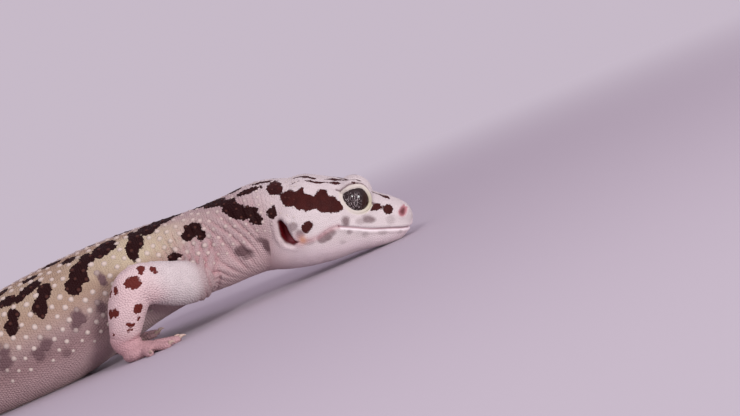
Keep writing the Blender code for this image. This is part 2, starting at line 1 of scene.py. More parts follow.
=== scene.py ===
# %% [markdown]
# # A leopard gecko, life size
# A museum model of a lizard is one soft skin, thousands of small scales set on it, two wet eyes and
# twenty claws. This lesson builds them in that order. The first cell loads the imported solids, which
# say how large everything is and where it lies. They are never moved: the finished pieces are built
# round them in the same frame, in metres, with +X towards the nose and +Z up.

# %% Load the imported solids
import math

import bpy
import numpy as np
from mathutils import Matrix, Vector
from mathutils.bvhtree import BVHTree
from mathutils.kdtree import KDTree


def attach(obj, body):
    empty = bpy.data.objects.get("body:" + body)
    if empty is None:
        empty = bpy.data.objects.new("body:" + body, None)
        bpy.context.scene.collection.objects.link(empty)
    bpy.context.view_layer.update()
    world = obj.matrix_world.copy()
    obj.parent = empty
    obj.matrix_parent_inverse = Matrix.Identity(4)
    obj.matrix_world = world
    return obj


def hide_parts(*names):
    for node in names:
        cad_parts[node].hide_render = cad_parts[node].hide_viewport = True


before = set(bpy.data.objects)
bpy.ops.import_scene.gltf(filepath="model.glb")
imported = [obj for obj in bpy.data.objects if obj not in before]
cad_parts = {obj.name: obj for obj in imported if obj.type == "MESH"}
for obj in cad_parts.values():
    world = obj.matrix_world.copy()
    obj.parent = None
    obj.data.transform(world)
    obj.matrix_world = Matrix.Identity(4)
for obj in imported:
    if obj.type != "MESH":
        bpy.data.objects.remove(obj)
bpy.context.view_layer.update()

MM = 0.001
print("solids:", len(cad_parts), "nodes")

# %% [markdown]
# ## Driving sizes
# The model repeats the sizes that the solids were made from, in millimetres. The head has a frame of
# its own, because a lizard's head turns and bows as one stiff box. Its measures run back from the
# nose, to the animal's left, and up. A section of the body is a rounded box that is fuller or
# sharper above and below: two powers say how round, where 2 is an ellipse.

# %% The head's frame
NOSE = np.array([78.3, -0.4, 1.1])
HEAD_BOW, HEAD_TURN, HEAD_LEAN = 23.4, 1.5, 4.0  # degrees
turn = Matrix.Rotation(math.radians(-HEAD_TURN), 3, "Z") @ Matrix.Rotation(math.radians(HEAD_BOW), 3, "Y")
turn = turn @ Matrix.Rotation(math.radians(HEAD_LEAN), 3, "X")
BACK, LEFT, UP = (np.array(turn @ Vector(way)) for way in ((-1, 0, 0), (0, 1, 0), (0, 0, 1)))


def on_head(back, left, up):
    """A point of the head's frame, in the model's frame, in millimetres."""
    return NOSE + BACK * back + LEFT * left + UP * up


print("level of the eye's middle over the floor:", round(on_head(12.1, 4.75, 6.5)[2], 1), "mm")

# %% Sections of the head, body and tail
# Back from the nose, half width, crown, widest level and throat over the mouth, two powers.
HEAD_SECTIONS = [
    (0.00, 0.45, 2.80, 2.20, 1.50, 2.0, 2.0),
    (0.35, 1.75, 3.80, 2.00, 0.60, 2.0, 2.0),
    (1.00, 2.95, 4.70, 1.70, -0.70, 2.0, 2.1),
    (2.10, 4.00, 5.50, 1.30, -2.10, 2.0, 2.2),
    (4.00, 5.05, 6.35, 1.00, -3.00, 2.0, 2.3),
    (6.60, 6.20, 7.20, 0.80, -3.70, 2.1, 2.4),
    (9.00, 7.20, 7.90, 0.70, -4.30, 2.2, 2.4),
    (11.7, 8.20, 9.40, 0.70, -5.00, 2.4, 2.4),
    (15.2, 9.40, 10.3, 0.60, -6.20, 2.5, 2.4),
    (19.0, 10.5, 10.8, 0.30, -7.30, 2.5, 2.3),
    (22.8, 11.2, 11.0, 0.10, -8.20, 2.4, 2.3),
    (26.2, 11.0, 10.6, 0.30, -8.80, 2.3, 2.2),
    (29.4, 9.90, 10.1, 0.80, -9.00, 2.2, 2.1),
]
# Along, across and height of the widest level, half width, top, bottom, two powers.
BODY_SECTIONS = [
    (44.0, 0.3, 13.6, 8.50, 22.7, 4.9, 2.1, 2.1),
    (38.5, 0.7, 13.0, 8.80, 22.8, 4.9, 2.1, 2.1),
    (31.5, 0.7, 12.3, 10.2, 23.4, 5.2, 2.1, 2.1),
    (23.0, 0.3, 11.6, 11.8, 24.1, 4.4, 2.2, 2.1),
    (12.0, -0.3, 10.9, 13.6, 24.4, 2.0, 2.2, 2.2),
    (2.00, -0.8, 10.3, 14.7, 24.0, -0.1, 2.2, 2.3),
    (-8.0, -0.9, 9.90, 15.1, 23.0, -0.6, 2.2, 2.4),
    (-18., -0.6, 9.60, 14.6, 21.6, -0.6, 2.2, 2.4),
    (-28., 0.1, 9.20, 12.9, 19.8, -0.4, 2.2, 2.3),
    (-36., 0.9, 8.70, 10.4, 17.7, 0.3, 2.2, 2.2),
    (-43., 1.6, 8.10, 8.60, 15.4, 1.0, 2.1, 2.1),
]
# How far behind the hips, half width, top and widest level. The tail lies along the floor.
TAIL_SECTIONS = [
    (6.00, 6.70, 12.9, 6.9),
    (11.0, 5.50, 11.2, 5.9),
    (18.0, 6.80, 11.9, 5.9),
    (27.0, 7.90, 12.3, 5.9),
    (37.0, 7.50, 11.2, 5.4),
    (49.0, 6.10, 9.10, 4.4),
    (62.0, 4.40, 6.80, 3.3),
    (75.0, 3.00, 4.70, 2.3),
    (87.0, 1.80, 2.90, 1.4),
    (94.0, 0.95, 1.60, 0.8),
    (96.5, 0.40, 0.90, 0.5),
]
TAIL_BOTTOM = -0.35
# The tail's heading at the hips, from straight back, and how far it swings to the animal's left.
TAIL_START_TURN, TAIL_BEND = math.radians(-8.0), math.radians(74.0)
TAIL_STEP = 0.5
print("sections:", len(HEAD_SECTIONS), "head,", len(BODY_SECTIONS), "body,", len(TAIL_SECTIONS), "tail")

# %% [markdown]
# ## The spine
# Everything that follows the body, from folds to spots, is easier to place by how far it lies behind
# the nose and how far round the body it sits than by x, y and z. So the next cell makes a spine: a
# smooth row of section centres with the three directions and the sizes of each section.


# %% A smooth curve through a table's rows
def smooth(xs, table, at):
    """Columns of a table read at the places `at`, along a smooth curve through its rows."""
    xs, table, at = np.asarray(xs, float), np.asarray(table, float), np.asarray(at, float)
    steps = np.diff(xs)
    rises = np.diff(table, axis=0) / steps[:, None]
    slopes = np.vstack([rises[:1], rises, rises[-1:]])
    before = np.concatenate([steps[:1], steps])[:, None]
    after = np.concatenate([steps, steps[-1:]])[:, None]
    slopes = (slopes[:-1] * after + slopes[1:] * before) / (before + after)
    k = np.clip(np.searchsorted(xs, at, side="right") - 1, 0, len(xs) - 2)
    t = ((at - xs[k]) / steps[k])[:, None]
    h = steps[k][:, None]
    return (
        table[k] * (1 + 2 * t) * (1 - t) ** 2
        + slopes[k] * h * t * (1 - t) ** 2
        + table[k + 1] * t**2 * (3 - 2 * t)
        + slopes[k + 1] * h * t**2 * (t - 1)
    )


def lengths_along(points):
    """How far along a row of points each one lies."""
    return np.concatenate([[0], np.cumsum(np.linalg.norm(np.diff(points[:, :3], axis=0), axis=1))])


def unit(vectors):
    """Vectors of the same directions, all of length 1."""
    return vectors / np.maximum(np.linalg.norm(vectors, axis=-1, keepdims=True), 1e-9)


# %% The spine and its sections
def tail_path():
    """Middle-line points of the tail on the floor plan, at each of its sections."""
    at, travelled, points = np.array(BODY_SECTIONS[-1][:2]), 0.0, []
    for behind, *_ in TAIL_SECTIONS:
        while travelled < behind - 1e-6:
            step = min(TAIL_STEP, behind - travelled)
            share = (travelled + step / 2) / TAIL_SECTIONS[-1][0]
            heading = TAIL_START_TURN + TAIL_BEND * math.sin(1.15 * math.pi * share**1.3) * 0.75
            at = at + np.array([-math.cos(heading), math.sin(heading)]) * step
            travelled += step
        points.append(at)
    return points


def body_stations():
    """A row for each section: x, y, z, half width, rise, drop, two powers, lean."""
    rows = []
    for back, half, crown, widest, throat, above, below in HEAD_SECTIONS:
        place = on_head(back, 0, widest)
        rows.append((*place, half, crown - widest, widest - throat, above, below, HEAD_LEAN))
    for x, y, widest, half, top, bottom, above, below in BODY_SECTIONS:
        rows.append((x, y, widest, half, top - widest, widest - bottom, above, below, 0.0))
    for (_, half, top, widest), (x, y) in zip(TAIL_SECTIONS, tail_path()):
        rows.append((x, y, widest, half, top - widest, widest - TAIL_BOTTOM, 2.0, 2.1, 0.0))
    return np.array(rows)


SPINE_STEP = 0.6
stations = body_stations()
station_along = lengths_along(stations)
BODY_LENGTH = station_along[-1]
NECK_AT, HIPS_AT = station_along[len(HEAD_SECTIONS) - 1], station_along[-len(TAIL_SECTIONS) - 1]
nose_steps = np.array([0, 0.15, 0.35, 0.65, 1.0, 1.5, 2.2])
along = np.concatenate([nose_steps, np.linspace(3.0, BODY_LENGTH, int(BODY_LENGTH / SPINE_STEP))])
spine = smooth(station_along, stations, along)
centre = spine[:, :3]
forward = -np.gradient(centre, along, axis=0)
forward[:12] = -BACK
forward = unit(forward)
left = unit(np.cross([0, 0, 1], forward))
up = np.cross(forward, left)
lean = np.radians(spine[:, 8])[:, None]
left, up = left * np.cos(lean) + up * np.sin(lean), up * np.cos(lean) - left * np.sin(lean)
print(f"spine: {BODY_LENGTH:.0f} mm, neck from {NECK_AT:.0f}, hips at {HIPS_AT:.0f}")

# %% [markdown]
# ## Rough shapes
# The rough body is a loft, a skin stretched over rings like cloth over a boat's frames. A limb is a
# tapered tube, which is a loft too: its rings stand square to a smooth run from root to wrist, and
# their radius changes on the way. That keeps elbows round without any sculpting. A toe is a smaller
# tube with a raised knuckle.


# %% Rings and lofts
RING = 96


def round_angles(count):
    """Evenly spaced angles round a full circle."""
    return np.arange(count) * 2 * math.pi / count


def section_rings():
    """The rings of the body, one for each row of the spine."""
    cos, sin = np.cos(round_angles(RING)), np.sin(round_angles(RING))
    rings = []
    for c, l, u, row in zip(centre, left, up, spine):
        half, rise, drop, above, below = row[3:8]
        power = np.where(sin >= 0, 2 / above, 2 / below)
        tall = np.where(sin >= 0, rise, drop)
        side = half * np.sign(cos) * np.abs(cos) ** power
        high = tall * np.sign(sin) * np.abs(sin) ** power
        rings.append(c + side[:, None] * l + high[:, None] * u)
    return np.array(rings)


# %% Meshes, lofts, tubes and balls
def mesh_from(name, points, faces, scale=MM):
    """A mesh from points in millimetres and faces that all have the same number of corners."""
    mesh = bpy.data.meshes.new(name)
    faces = np.asarray(faces, np.int32)
    mesh.vertices.add(len(points))
    mesh.vertices.foreach_set("co", (np.asarray(points) * scale).astype(np.float32).ravel())
    mesh.loops.add(faces.size)
    mesh.loops.foreach_set("vertex_index", faces.ravel())
    mesh.polygons.add(len(faces))
    mesh.polygons.foreach_set("loop_start", np.arange(len(faces), dtype=np.int32) * faces.shape[1])
    mesh.update(calc_edges=True)
    return mesh


def linked(name, data):
    """A new object in the scene."""
    obj = bpy.data.objects.new(name, data)
    bpy.context.scene.collection.objects.link(obj)
    return obj


def loft(rings):
    """Points and triangles of a closed skin over rings with equal numbers of points."""
    count, ring = rings.shape[:2]
    i, j = np.meshgrid(np.arange(count - 1), np.arange(ring), indexing="ij")
    a, b = i * ring + j, i * ring + (j + 1) % ring
    quads = np.stack([a, b, b + ring, a + ring], axis=-1).reshape(-1, 4)
    sides = np.concatenate([quads[:, [0, 1, 2]], quads[:, [0, 2, 3]]])
    points = np.vstack([rings.reshape(-1, 3), rings[0].mean(axis=0), rings[-1].mean(axis=0)])
    k = np.arange(ring)
    first, last = count * ring, count * ring + 1
    cap_a = np.stack([np.full(ring, first), (k + 1) % ring, k], axis=-1)
    tail = (count - 1) * ring
    cap_b = np.stack([np.full(ring, last), tail + k, tail + (k + 1) % ring], axis=-1)
    return points, np.vstack([sides, cap_a, cap_b])


def tube(points, sides=28, step=0.35):
    """A tapered tube through (x, y, z, radius) points, as a loft over rings square to its run."""
    points = np.array(points, float)
    run = lengths_along(points)
    fine = smooth(run, points, np.linspace(0, run[-1], max(int(run[-1] / step), 8)))
    ahead = unit(np.gradient(fine[:, :3], axis=0))
    hint = np.where(np.abs(ahead[:, 2:]) < 0.9, [[0.0, 0.0, 1.0]], [[1.0, 0.0, 0.0]])
    across = unit(np.cross(hint, ahead))
    over = np.cross(ahead, across)
    angle = round_angles(sides)[None, :, None]
    ring = np.cos(angle) * across[:, None] + np.sin(angle) * over[:, None]
    return loft(fine[:, None, :3] + ring * fine[:, None, 3:4])


def ball(middle, radii, turning=0.0, rows=18, sides=32):
    """An ellipsoid as a loft over its rows; `turning` is a turn about the vertical."""
    lift = np.linspace(-math.pi / 2, math.pi / 2, rows + 2)[1:-1, None]
    angle = round_angles(sides)
    level = np.cos(lift)
    rings = np.stack([level * np.cos(angle), level * np.sin(angle), np.sin(lift) + 0 * angle], axis=-1)
    c, s = math.cos(turning), math.sin(turning)
    return loft(rings * np.array(radii) @ np.array([[c, s, 0], [-s, c, 0], [0, 0, 1]]) + np.array(middle))


# %% Limbs and feet
FRONT_LIMB = [  # x, y, z and radius, from the root to the wrist
    (34.0, -6.0, 9.6, 5.0), (29.4, -12.2, 10.7, 4.6), (25.6, -16.0, 12.8, 4.3), (22.2, -17.8, 13.7, 4.1),
    (19.6, -17.8, 11.0, 4.0), (17.2, -17.3, 7.2, 3.4), (15.6, -16.9, 4.3, 2.6),
]
REAR_LIMB = [
    (-41.0, -2.5, 8.2, 5.3), (-37.0, -9.6, 8.8, 5.3), (-33.0, -15.6, 9.6, 4.9), (-29.4, -20.6, 9.4, 4.2),
    (-33.4, -24.0, 7.6, 4.0), (-37.6, -27.2, 5.2, 3.3), (-40.6, -29.4, 3.4, 2.6),
]
HAND, SOLE = (3.7, 3.3, 1.75), (4.9, 3.6, 1.75)  # half length, half width, half height
# The angle of each digit, its length and its radius.
FINGERS = [(-62, 4.0, 0.86), (-30, 5.4, 0.88), (0, 6.0, 0.88), (28, 5.4, 0.88), (62, 4.2, 0.84)]
TOES = [(-58, 4.8, 0.90), (-28, 7.0, 0.92), (-4, 8.6, 0.92), (20, 9.2, 0.92), (66, 6.6, 0.88)]
LIMBS = {
    # route, side, the root's shift across, the foot's shift, heading of the foot, palm, digits
    "front_right": (FRONT_LIMB, -1, 0.5, (0.0, 0.0), 0.10, HAND, FINGERS),
    "front_left": (FRONT_LIMB, 1, 0.5, (-7.5, -1.2), 0.30, HAND, FINGERS),
    "rear_right": (REAR_LIMB, -1, 1.4, (0.0, 0.0), 0.45, SOLE, TOES),
    "rear_left": (REAR_LIMB, 1, 1.4, (-3.0, -1.0), 0.75, SOLE, TOES),
}
DIGIT_LIFT = 0.62  # the height of a digit's middle line, in digit radii
DIGIT_SHAPE = [  # share of the length, height over that line, thickness in radii
    (0.00, 0.55, 1.25), (0.30, 0.65, 1.05), (0.62, 0.25, 1.00), (0.88, 0.00, 0.92), (1.00, 0.02, 0.72),
    (1.06, 0.04, 0.50),
]
WRIST_REACH, PALM_REACH, PALM_LIFT = 2.0, 0.62, 0.72  # in millimetres, and in shares of the palm's size


def limb_points(route, side, root_y, shift):
    """A limb's route on its own side of the body, moved little by little from root to foot."""
    points = []
    for share, (x, y, z, radius) in zip(np.linspace(0, 1, len(route)), route):
        across = (y + shift[1] * share) * -side + root_y * (1 - share)
        points.append((x + shift[0] * share, across, z, radius))
    return points


limb_runs, toes, rough = {}, [], [loft(section_rings())]
for limb, (route, side, root_y, shift, heading, palm, digits) in LIMBS.items():
    points = limb_points(route, side, root_y, shift)
    ahead = np.array([math.cos(heading), side * math.sin(heading), 0])
    wrist = np.array(points[-1][:3])
    points.append((*(wrist + ahead * WRIST_REACH)[:2], WRIST_REACH, points[-1][3] * 0.86))
    limb_runs[limb] = np.array(points)
    rough.append(tube(points))
    middle = np.array([*wrist[:2], palm[2] * PALM_LIFT]) + ahead * palm[0] * PALM_REACH
    rough.append(ball(middle, palm, side * heading))
    for spread, length, radius in digits:
        angle = side * (heading + math.radians(spread))
        way = np.array([math.cos(angle), math.sin(angle), 0])
        root = middle + way * [palm[0], palm[1], 0] * PALM_REACH
        run = [
            (*(root + way * length * share)[:2], radius * DIGIT_LIFT + rise, radius * thick)
            for share, rise, thick in DIGIT_SHAPE
        ]
        rough.append(tube(run, sides=20, step=0.2))
        toes.append((limb, np.array(run), way, radius))
print("toes:", len(toes))

# %% [markdown]
# ## One skin
# The loft, tubes and balls cross each other, and a living skin doesn't. A voxel remesh wraps all of
# them in one closed mesh, as dipping them in wax would. Its grid is even, but a lizard's detail is not:
# the face needs finer squares than the back. So the points are first pushed away from the middle of
# the head, as under a fisheye lens, remeshed there and pulled back, which leaves three times finer
# squares on the face at no cost elsewhere.

# %% The fisheye
LENS_MIDDLE = on_head(13.0, 0, 1.0)
LENS_REACH, LENS_POWER = 18.0, 3.0
VOXEL = 0.45


def magnified(points, power=LENS_POWER):
    """Points pushed away from the lens's middle, `power` times as far within its reach."""
    way = points - LENS_MIDDLE
    far = np.linalg.norm(way, axis=1, keepdims=True)
    reach = np.where(far < LENS_REACH, far * power, far + LENS_REACH * (power - 1))
    return LENS_MIDDLE + way * reach / np.maximum(far, 1e-9)


def unmagnified(points):
    """The same points pulled back to where they were."""
    way = points - LENS_MIDDLE
    far = np.linalg.norm(way, axis=1, keepdims=True)
    reach = np.where(far < LENS_REACH * LENS_POWER, far / LENS_POWER, far - LENS_REACH * (LENS_POWER - 1))
    return LENS_MIDDLE + way * reach / np.maximum(far, 1e-9)


# %% Merge everything under it
BROW, BROW_RADII = (12.2, 4.4, 6.6), (3.95, 4.25, 4.0)  # the bulge of each eye: its middle and its size
for side in (-1, 1):
    points, faces = ball((0, 0, 0), BROW_RADII)
    rough.append((on_head(BROW[0], side * BROW[1], BROW[2]) + points @ np.array([-BACK, LEFT, UP]), faces))


def evaluated(obj):
    """The mesh that an object's modifiers make; the object is removed."""
    graph = bpy.context.evaluated_depsgraph_get()
    mesh = bpy.data.meshes.new_from_object(obj.evaluated_get(graph), depsgraph=graph)
    bpy.data.objects.remove(obj)
    return mesh


def read_mesh(mesh):
    """Points in millimetres and faces of a mesh of quads."""
    points = np.empty(len(mesh.vertices) * 3, np.float32)
    mesh.vertices.foreach_get("co", points)
    faces = np.empty(len(mesh.loops), np.int32)
    mesh.loops.foreach_get("vertex_index", faces)
    return points.reshape(-1, 3).astype(float) / MM, faces.reshape(-1, 4)


offsets = np.cumsum([0] + [len(points) for points, _ in rough])
all_points = magnified(np.vstack([points for points, _ in rough]))
all_faces = np.vstack([faces + start for (_, faces), start in zip(rough, offsets)])
wax = linked("wax", mesh_from("wax", all_points, all_faces))
remesh = wax.modifiers.new("merge", "REMESH")
remesh.mode, remesh.voxel_size = "VOXEL", VOXEL * MM
soften = wax.modifiers.new("soften", "SMOOTH")
soften.factor, soften.iterations = 0.5, 5
points, quads = read_mesh(evaluated(wax))
points = unmagnified(points)
print("skin:", len(points), "points,", len(quads), "squares")

# %% [markdown]
# ## Where each point lies
# Before any sculpting, each point of the skin is told where it is: how far behind the nose, how many
# degrees round from the middle of the back (positive on the animal's right), how far outside the body's
# own section, and how far along the nearest limb. Folds, spots and scales then become short formulas.


# %% Fields over the surface
def step_up(x, low, high):
    """0 below `low`, 1 above `high`, with a soft rise between."""
    t = np.clip((x - low) / (high - low), 0, 1)
    return t * t * (3 - 2 * t)


def step_down(x, low, high):
    """1 below `low`, 0 above `high`."""
    return 1 - step_up(x, low, high)


def band(x, low, full, fade, end):
    """1 between `full` and `fade`, 0 below `low` and above `end`."""
    return step_up(x, low, full) * step_down(x, fade, end)


def bell(x, width):
    """1 where `x` is 0, and nearly 0 beyond twice the width."""
    return np.exp(-((x / width) ** 2))


def waves(points, size, seed, count=7):
    """A smooth uneven field between about -1 and 1, whose bumps are `size` millimetres across."""
    draw = np.random.default_rng(seed)
    ways = unit(draw.normal(size=(count, 3))) * draw.uniform(0.6, 1.4, (count, 1)) * math.pi / size
    return np.sin(points @ ways.T + draw.uniform(0, 2 * math.pi, count)).sum(axis=1) / math.sqrt(count)


def nearest_row(points, rows, chunk=20000):
    """The index of the row nearest to each point."""
    found = np.empty(len(points), int)
    square = (rows**2).sum(axis=1)
    for start in range(0, len(points), chunk):
        part = points[start : start + chunk]
        found[start : start + chunk] = (square - 2 * part @ rows.T).argmin(axis=1)
    return found


# %% Where a point lies
FAR = 9.0  # farther than any limb, line or spot reaches
limb_names, fine_runs = list(limb_runs), []
for run in limb_runs.values():
    far = lengths_along(run)
    at = np.linspace(0, far[-1], 90)
    fine_runs.append(np.column_stack([smooth(far, run, at), at]))
PALM_START = 2.9  # before the end of a limb's route
WRIST_AT = np.array([run[-1, 4] - PALM_START for run in fine_runs])


def fields_of(points):
    """Every place-giving field, for points in millimetres."""
    i = nearest_row(points, centre)
    way = points - centre[i]
    ahead, side, high = ((way * axis[i]).sum(axis=1) for axis in (forward, left, up))
    half, rise, drop, above, below = spine[i, 3:8].T
    tall = np.where(high >= 0, rise, drop)
    power = np.where(high >= 0, above, below)
    outside = ((np.abs(side) / half) ** power + (np.abs(high) / tall) ** power) ** (1 / power)
    limb_share = np.full(len(points), FAR)
    limb_at, limb_turn, which = np.zeros(len(points)), np.zeros(len(points)), np.zeros(len(points), int)
    for k, run in enumerate(fine_runs):
        j = nearest_row(points, run[:, :3])
        gap = np.linalg.norm(points - run[j, :3], axis=1) / run[j, 3]
        near = gap < limb_share
        limb_share = np.where(near, gap, limb_share)
        limb_at, which = np.where(near, run[j, 4], limb_at), np.where(near, k, which)
        axis = unit(np.gradient(run[:, :3], axis=0))[j]
        outward = unit(np.cross(axis, np.cross([0, LIMBS[limb_names[k]][1], 0], axis)))
        rel = points - run[j, :3]
        sideways = (rel * np.cross(axis, outward)).sum(axis=1)
        turned = np.degrees(np.arctan2(sideways, (rel * outward).sum(axis=1)))
        limb_turn = np.where(near, turned, limb_turn)
    head = points - NOSE
    return {
        "back": head @ BACK, "aside": head @ LEFT, "over": head @ UP,
        "behind": along[i] - ahead, "turn": np.degrees(np.arctan2(-side, high)), "outside": outside,
        "girth": (half + tall) / 2, "limb_share": limb_share, "limb_at": limb_at, "limb_turn": limb_turn,
        "limb": which,
        "on_limb": step_up(outside, 1.05, 1.35) * (points[:, 0] < 60),
    }


# %% Normals, and softening
def normals_of(points):
    """The skin's direction out at each point, from the squares that meet there."""
    across = np.cross(points[quads[:, 2]] - points[quads[:, 0]], points[quads[:, 3]] - points[quads[:, 1]])
    total = [
        sum(np.bincount(quads[:, corner], across[:, axis], len(points)) for corner in range(4))
        for axis in range(3)
    ]
    return unit(np.column_stack(total))


edges = np.vstack([quads[:, [corner, (corner + 1) % 4]] for corner in range(4)])
links = np.unique(np.sort(edges, axis=1), axis=0)
neighbours = np.bincount(links.ravel(), minlength=len(points))[:, None]


def relaxed(values):
    """Each point's value as the mean of its neighbours'."""
    a, b = links.T
    total = [np.bincount(a, row[b], len(row)) + np.bincount(b, row[a], len(row)) for row in values.T]
    return np.column_stack(total) / neighbours


def softened(values, times, where=None):
    """Values averaged over the mesh again and again, all over it or where a weight says."""
    values = values.reshape(len(values), -1)
    for _ in range(times):
        step = relaxed(values) - values
        values = values + (step if where is None else step * where[:, None])
    return values


place = fields_of(points)
print("on limbs:", round(float(place["on_limb"].mean()), 2))

# %% [markdown]
# ## Folds
# Skin is a bag that is larger than the animal. It gathers where the body bends: upright folds on the
# neck, slanting ones that run into the armpit, rings on the tail, creases at elbow and knee. Each set
# is a row of narrow valleys across a chosen direction, and slow waves bend the row so that no two
# folds are alike. Where limbs leave the body the mesh is relaxed first, so that they grow out of it.

# %% Where limbs and head grow out of the body
SHOULDER = (37.5, 10.0, 9.5)  # where the upper arm leaves the body
turned, flank, limb_at = np.abs(place["turn"]), place["on_limb"] < 0.5, place["limb_at"]
joined = bell(place["outside"] - 1.12, 0.16) * (place["limb_share"] < 1.35) * (points[:, 0] < 46)
points = softened(points, 60, joined)
for side in (-1, 1):
    from_shoulder = np.linalg.norm(points - np.array(SHOULDER) * [1, side, 1], axis=1)
    points = softened(points, 90, step_down(from_shoulder, 2.5, 7.0))
points = softened(points, 16, bell(place["behind"] - NECK_AT - 1.0, 3.0))
points = softened(points, 30, bell(place["behind"] - 26.0, 3.0) * step_down(turned, 45, 75))
points = softened(points, 70, bell(place["behind"] - NECK_AT - 0.5, 3.2) * step_up(turned, 80, 112))
print("points softened where limbs join:", int((joined > 0.5).sum()))


# %% Body folds and creases
def creases(phase, width):
    """Valleys at every whole number of `phase`: 1 at the bottom, 0 between."""
    return bell(np.abs((phase + 0.5) % 1.0 - 0.5), width)


NECK_FOLD, NECK_PERIOD = 0.32, 1.6  # how deep, and how far from one fold to the next
ARM_FOLD, ARM_PERIOD = 0.42, 2.2
TAIL_RING, TAIL_PERIOD = 0.28, 3.7
JOINT_CREASE, JOINT_PERIOD = 0.12, 1.9
JOINT_AT = 17.0  # along a limb: its elbow or knee

normals = normals_of(points)
behind = softened(place["behind"], 40)[:, 0]
slow = waves(points, 7.0, 1)
neck_zone = step_up(place["back"], 30, 35) * step_down(behind, 50, 58) * step_up(turned, 25, 60)
neck_zone = neck_zone * (1 - 0.8 * step_up(turned, 120, 150))
neck_folds = creases((behind + 1.0 * slow + 0.03 * (turned - 80)) / NECK_PERIOD, 0.20) * neck_zone
slant = behind - 0.085 * turned
arm_zone = band(slant, 30, 36, 42, 47) * band(turned, 60, 85, 150, 170)
arm_folds = creases((slant + 0.8 * slow) / ARM_PERIOD, 0.2) * arm_zone
tail_zone = step_up(behind, HIPS_AT + 10, HIPS_AT + 20) * step_down(turned, 120, 165)
tail_rings = creases((behind - HIPS_AT + 0.35 * slow) / TAIL_PERIOD, 0.13) * tail_zone
joint_zone = bell(limb_at - JOINT_AT, 3.0) * (np.abs(place["limb_turn"]) > 60) * place["on_limb"]
joint_creases = creases((limb_at + 0.5 * slow) / JOINT_PERIOD, 0.2) * joint_zone
dent = (NECK_FOLD * neck_folds + TAIL_RING * tail_rings) * flank
dent = dent + ARM_FOLD * arm_folds * np.maximum(flank, 0.7 * step_down(limb_at, 2, 6))
dent = dent + JOINT_CREASE * joint_creases
points = points - normals * dent[:, None] * step_up(points[:, 2:], 0.2, 1.2)
print("deepest fold:", round(float(dent.max()), 2), "mm")

# %% [markdown]
# ## The face
# The mouth is one dark line with a soft lip on each side of it, cut into plates. The nostril and the
# ear are pits. Each is a distance field in the head's frame, and the skin moves along its normal by a
# profile of that distance. The eyelids are made last, round the middle of the eyeball itself.


# %% Distance helpers and the mouth
def to_line(a, b, line):
    """Distance of points (a, b) to a line of (a, b, half width) points, less the half width there."""
    best = np.full(len(a), 99.0)
    for (a0, b0, w0), (a1, b1, w1) in zip(line, line[1:]):
        run, rise = a1 - a0, b1 - b0
        t = np.clip(((a - a0) * run + (b - b0) * rise) / (run * run + rise * rise), 0, 1)
        best = np.minimum(best, np.hypot(a - a0 - run * t, b - b0 - rise * t) - (w0 + (w1 - w0) * t))
    return best


# Back from the nose and up, and for the lines with a width also half that width.
MOUTH = [(0.0, 0.30), (2.3, 0.40), (4.6, 0.50), (9.0, 0.65), (12.4, 1.10), (15.4, 1.45)]
MOUTH_END = MOUTH[-1][0]
CHEEK_FOLD = [
    (*MOUTH[-1], 0.0), (16.9, 1.1, 0.0), (18.1, 0.5, 0.0), (19.5, -0.5, 0.0), (21.3, -1.1, 0.0),
    (23.0, -1.3, 0.0),
]
NOSTRIL = [(1.75, 4.40, 0.40), (1.95, 4.05, 0.58), (2.20, 3.60, 0.62)]
EAR = [
    (27.3, 2.4, 0.75), (26.7, 1.25, 1.10), (26.3, 0.0, 1.20), (25.6, -1.0, 1.15), (24.6, -1.65, 0.80),
    (23.3, -1.4, 0.25),
]


def face_fields(place):
    """Signed distances over the face: from the mouth line, its fold, a nostril and an ear."""
    b, u, a = place["back"], place["over"], np.abs(place["aside"])
    table = np.array(MOUTH)
    lips = u - smooth(table[:, 0], table[:, 1:], np.clip(b, 0, MOUTH_END))[:, 0]
    off_face = FAR * ((b > 32) | (a < 0.3))
    return {
        "lips": lips, "mouth": np.abs(lips) + 2 * np.maximum(b - MOUTH_END, 0),
        "fold": to_line(b, u, CHEEK_FOLD) + off_face,
        "nostril": to_line(b, u, NOSTRIL) + off_face + FAR * (a < 1.6),
        "ear": to_line(b, u, EAR) + off_face + FAR * (a < 5),
    }


print("mouth:", MOUTH_END, "mm long")

# %% Lips, nostrils, ears and the head's form
place = fields_of(points)
face = face_fields(place)
normals = normals_of(points)
b, u, a = place["back"], place["over"], np.abs(place["aside"])
on_lips = step_down(b, 14.6, 16.2)
from_lip = np.abs(face["lips"])
plates = creases((b + 0.35 * a) / 1.35, 0.09) * on_lips * bell(from_lip - 0.6, 0.5)
lip = 0.16 * bell(from_lip - 0.62, 0.42) * on_lips - 0.46 * bell(face["mouth"], 0.15) - 0.05 * plates
lip = lip - (0.20 - 0.10 * step_up(b, 17, 20)) * bell(face["fold"], 0.30) * step_down(b, 20.0, 23.0)
nostril = 0.14 * bell(face["nostril"] - 0.40, 0.35) - 0.60 * step_down(face["nostril"], -0.42, 0.14)
front_edge = step_down(b + 0.45 * u, 25.6, 26.8)
ragged = face["ear"] + 0.20 * waves(points, 1.3, 5) * front_edge
ear = 0.30 * bell(ragged - 0.6, 0.55) * (1 - 0.6 * front_edge) - 1.9 * step_down(ragged, -0.75, 0.02)
outer = step_up(a, 1.6, 3.6)
form = 0.35 * bell(np.hypot(b - 20.5, u + 1.5), 3.6) * step_up(a, 5, 7)  # the jaw's muscle
form = form - 0.30 * bell(np.hypot(b - 7.2, (u - 3.6) * 1.4), 1.9) * outer  # the hollow before the eye
form = form + 0.22 * bell(np.hypot(b - 5.5, (u - 5.6) * 1.6), 1.8) * outer  # the snout's edge
form = form - 0.35 * bell(np.hypot(b - 17.2, u - 5.6), 2.0) * step_up(a, 4, 6)  # the temple
points = points + normals * (lip + nostril + ear + form)[:, None]
points = softened(points, 3, bell(face["ear"], 0.9))
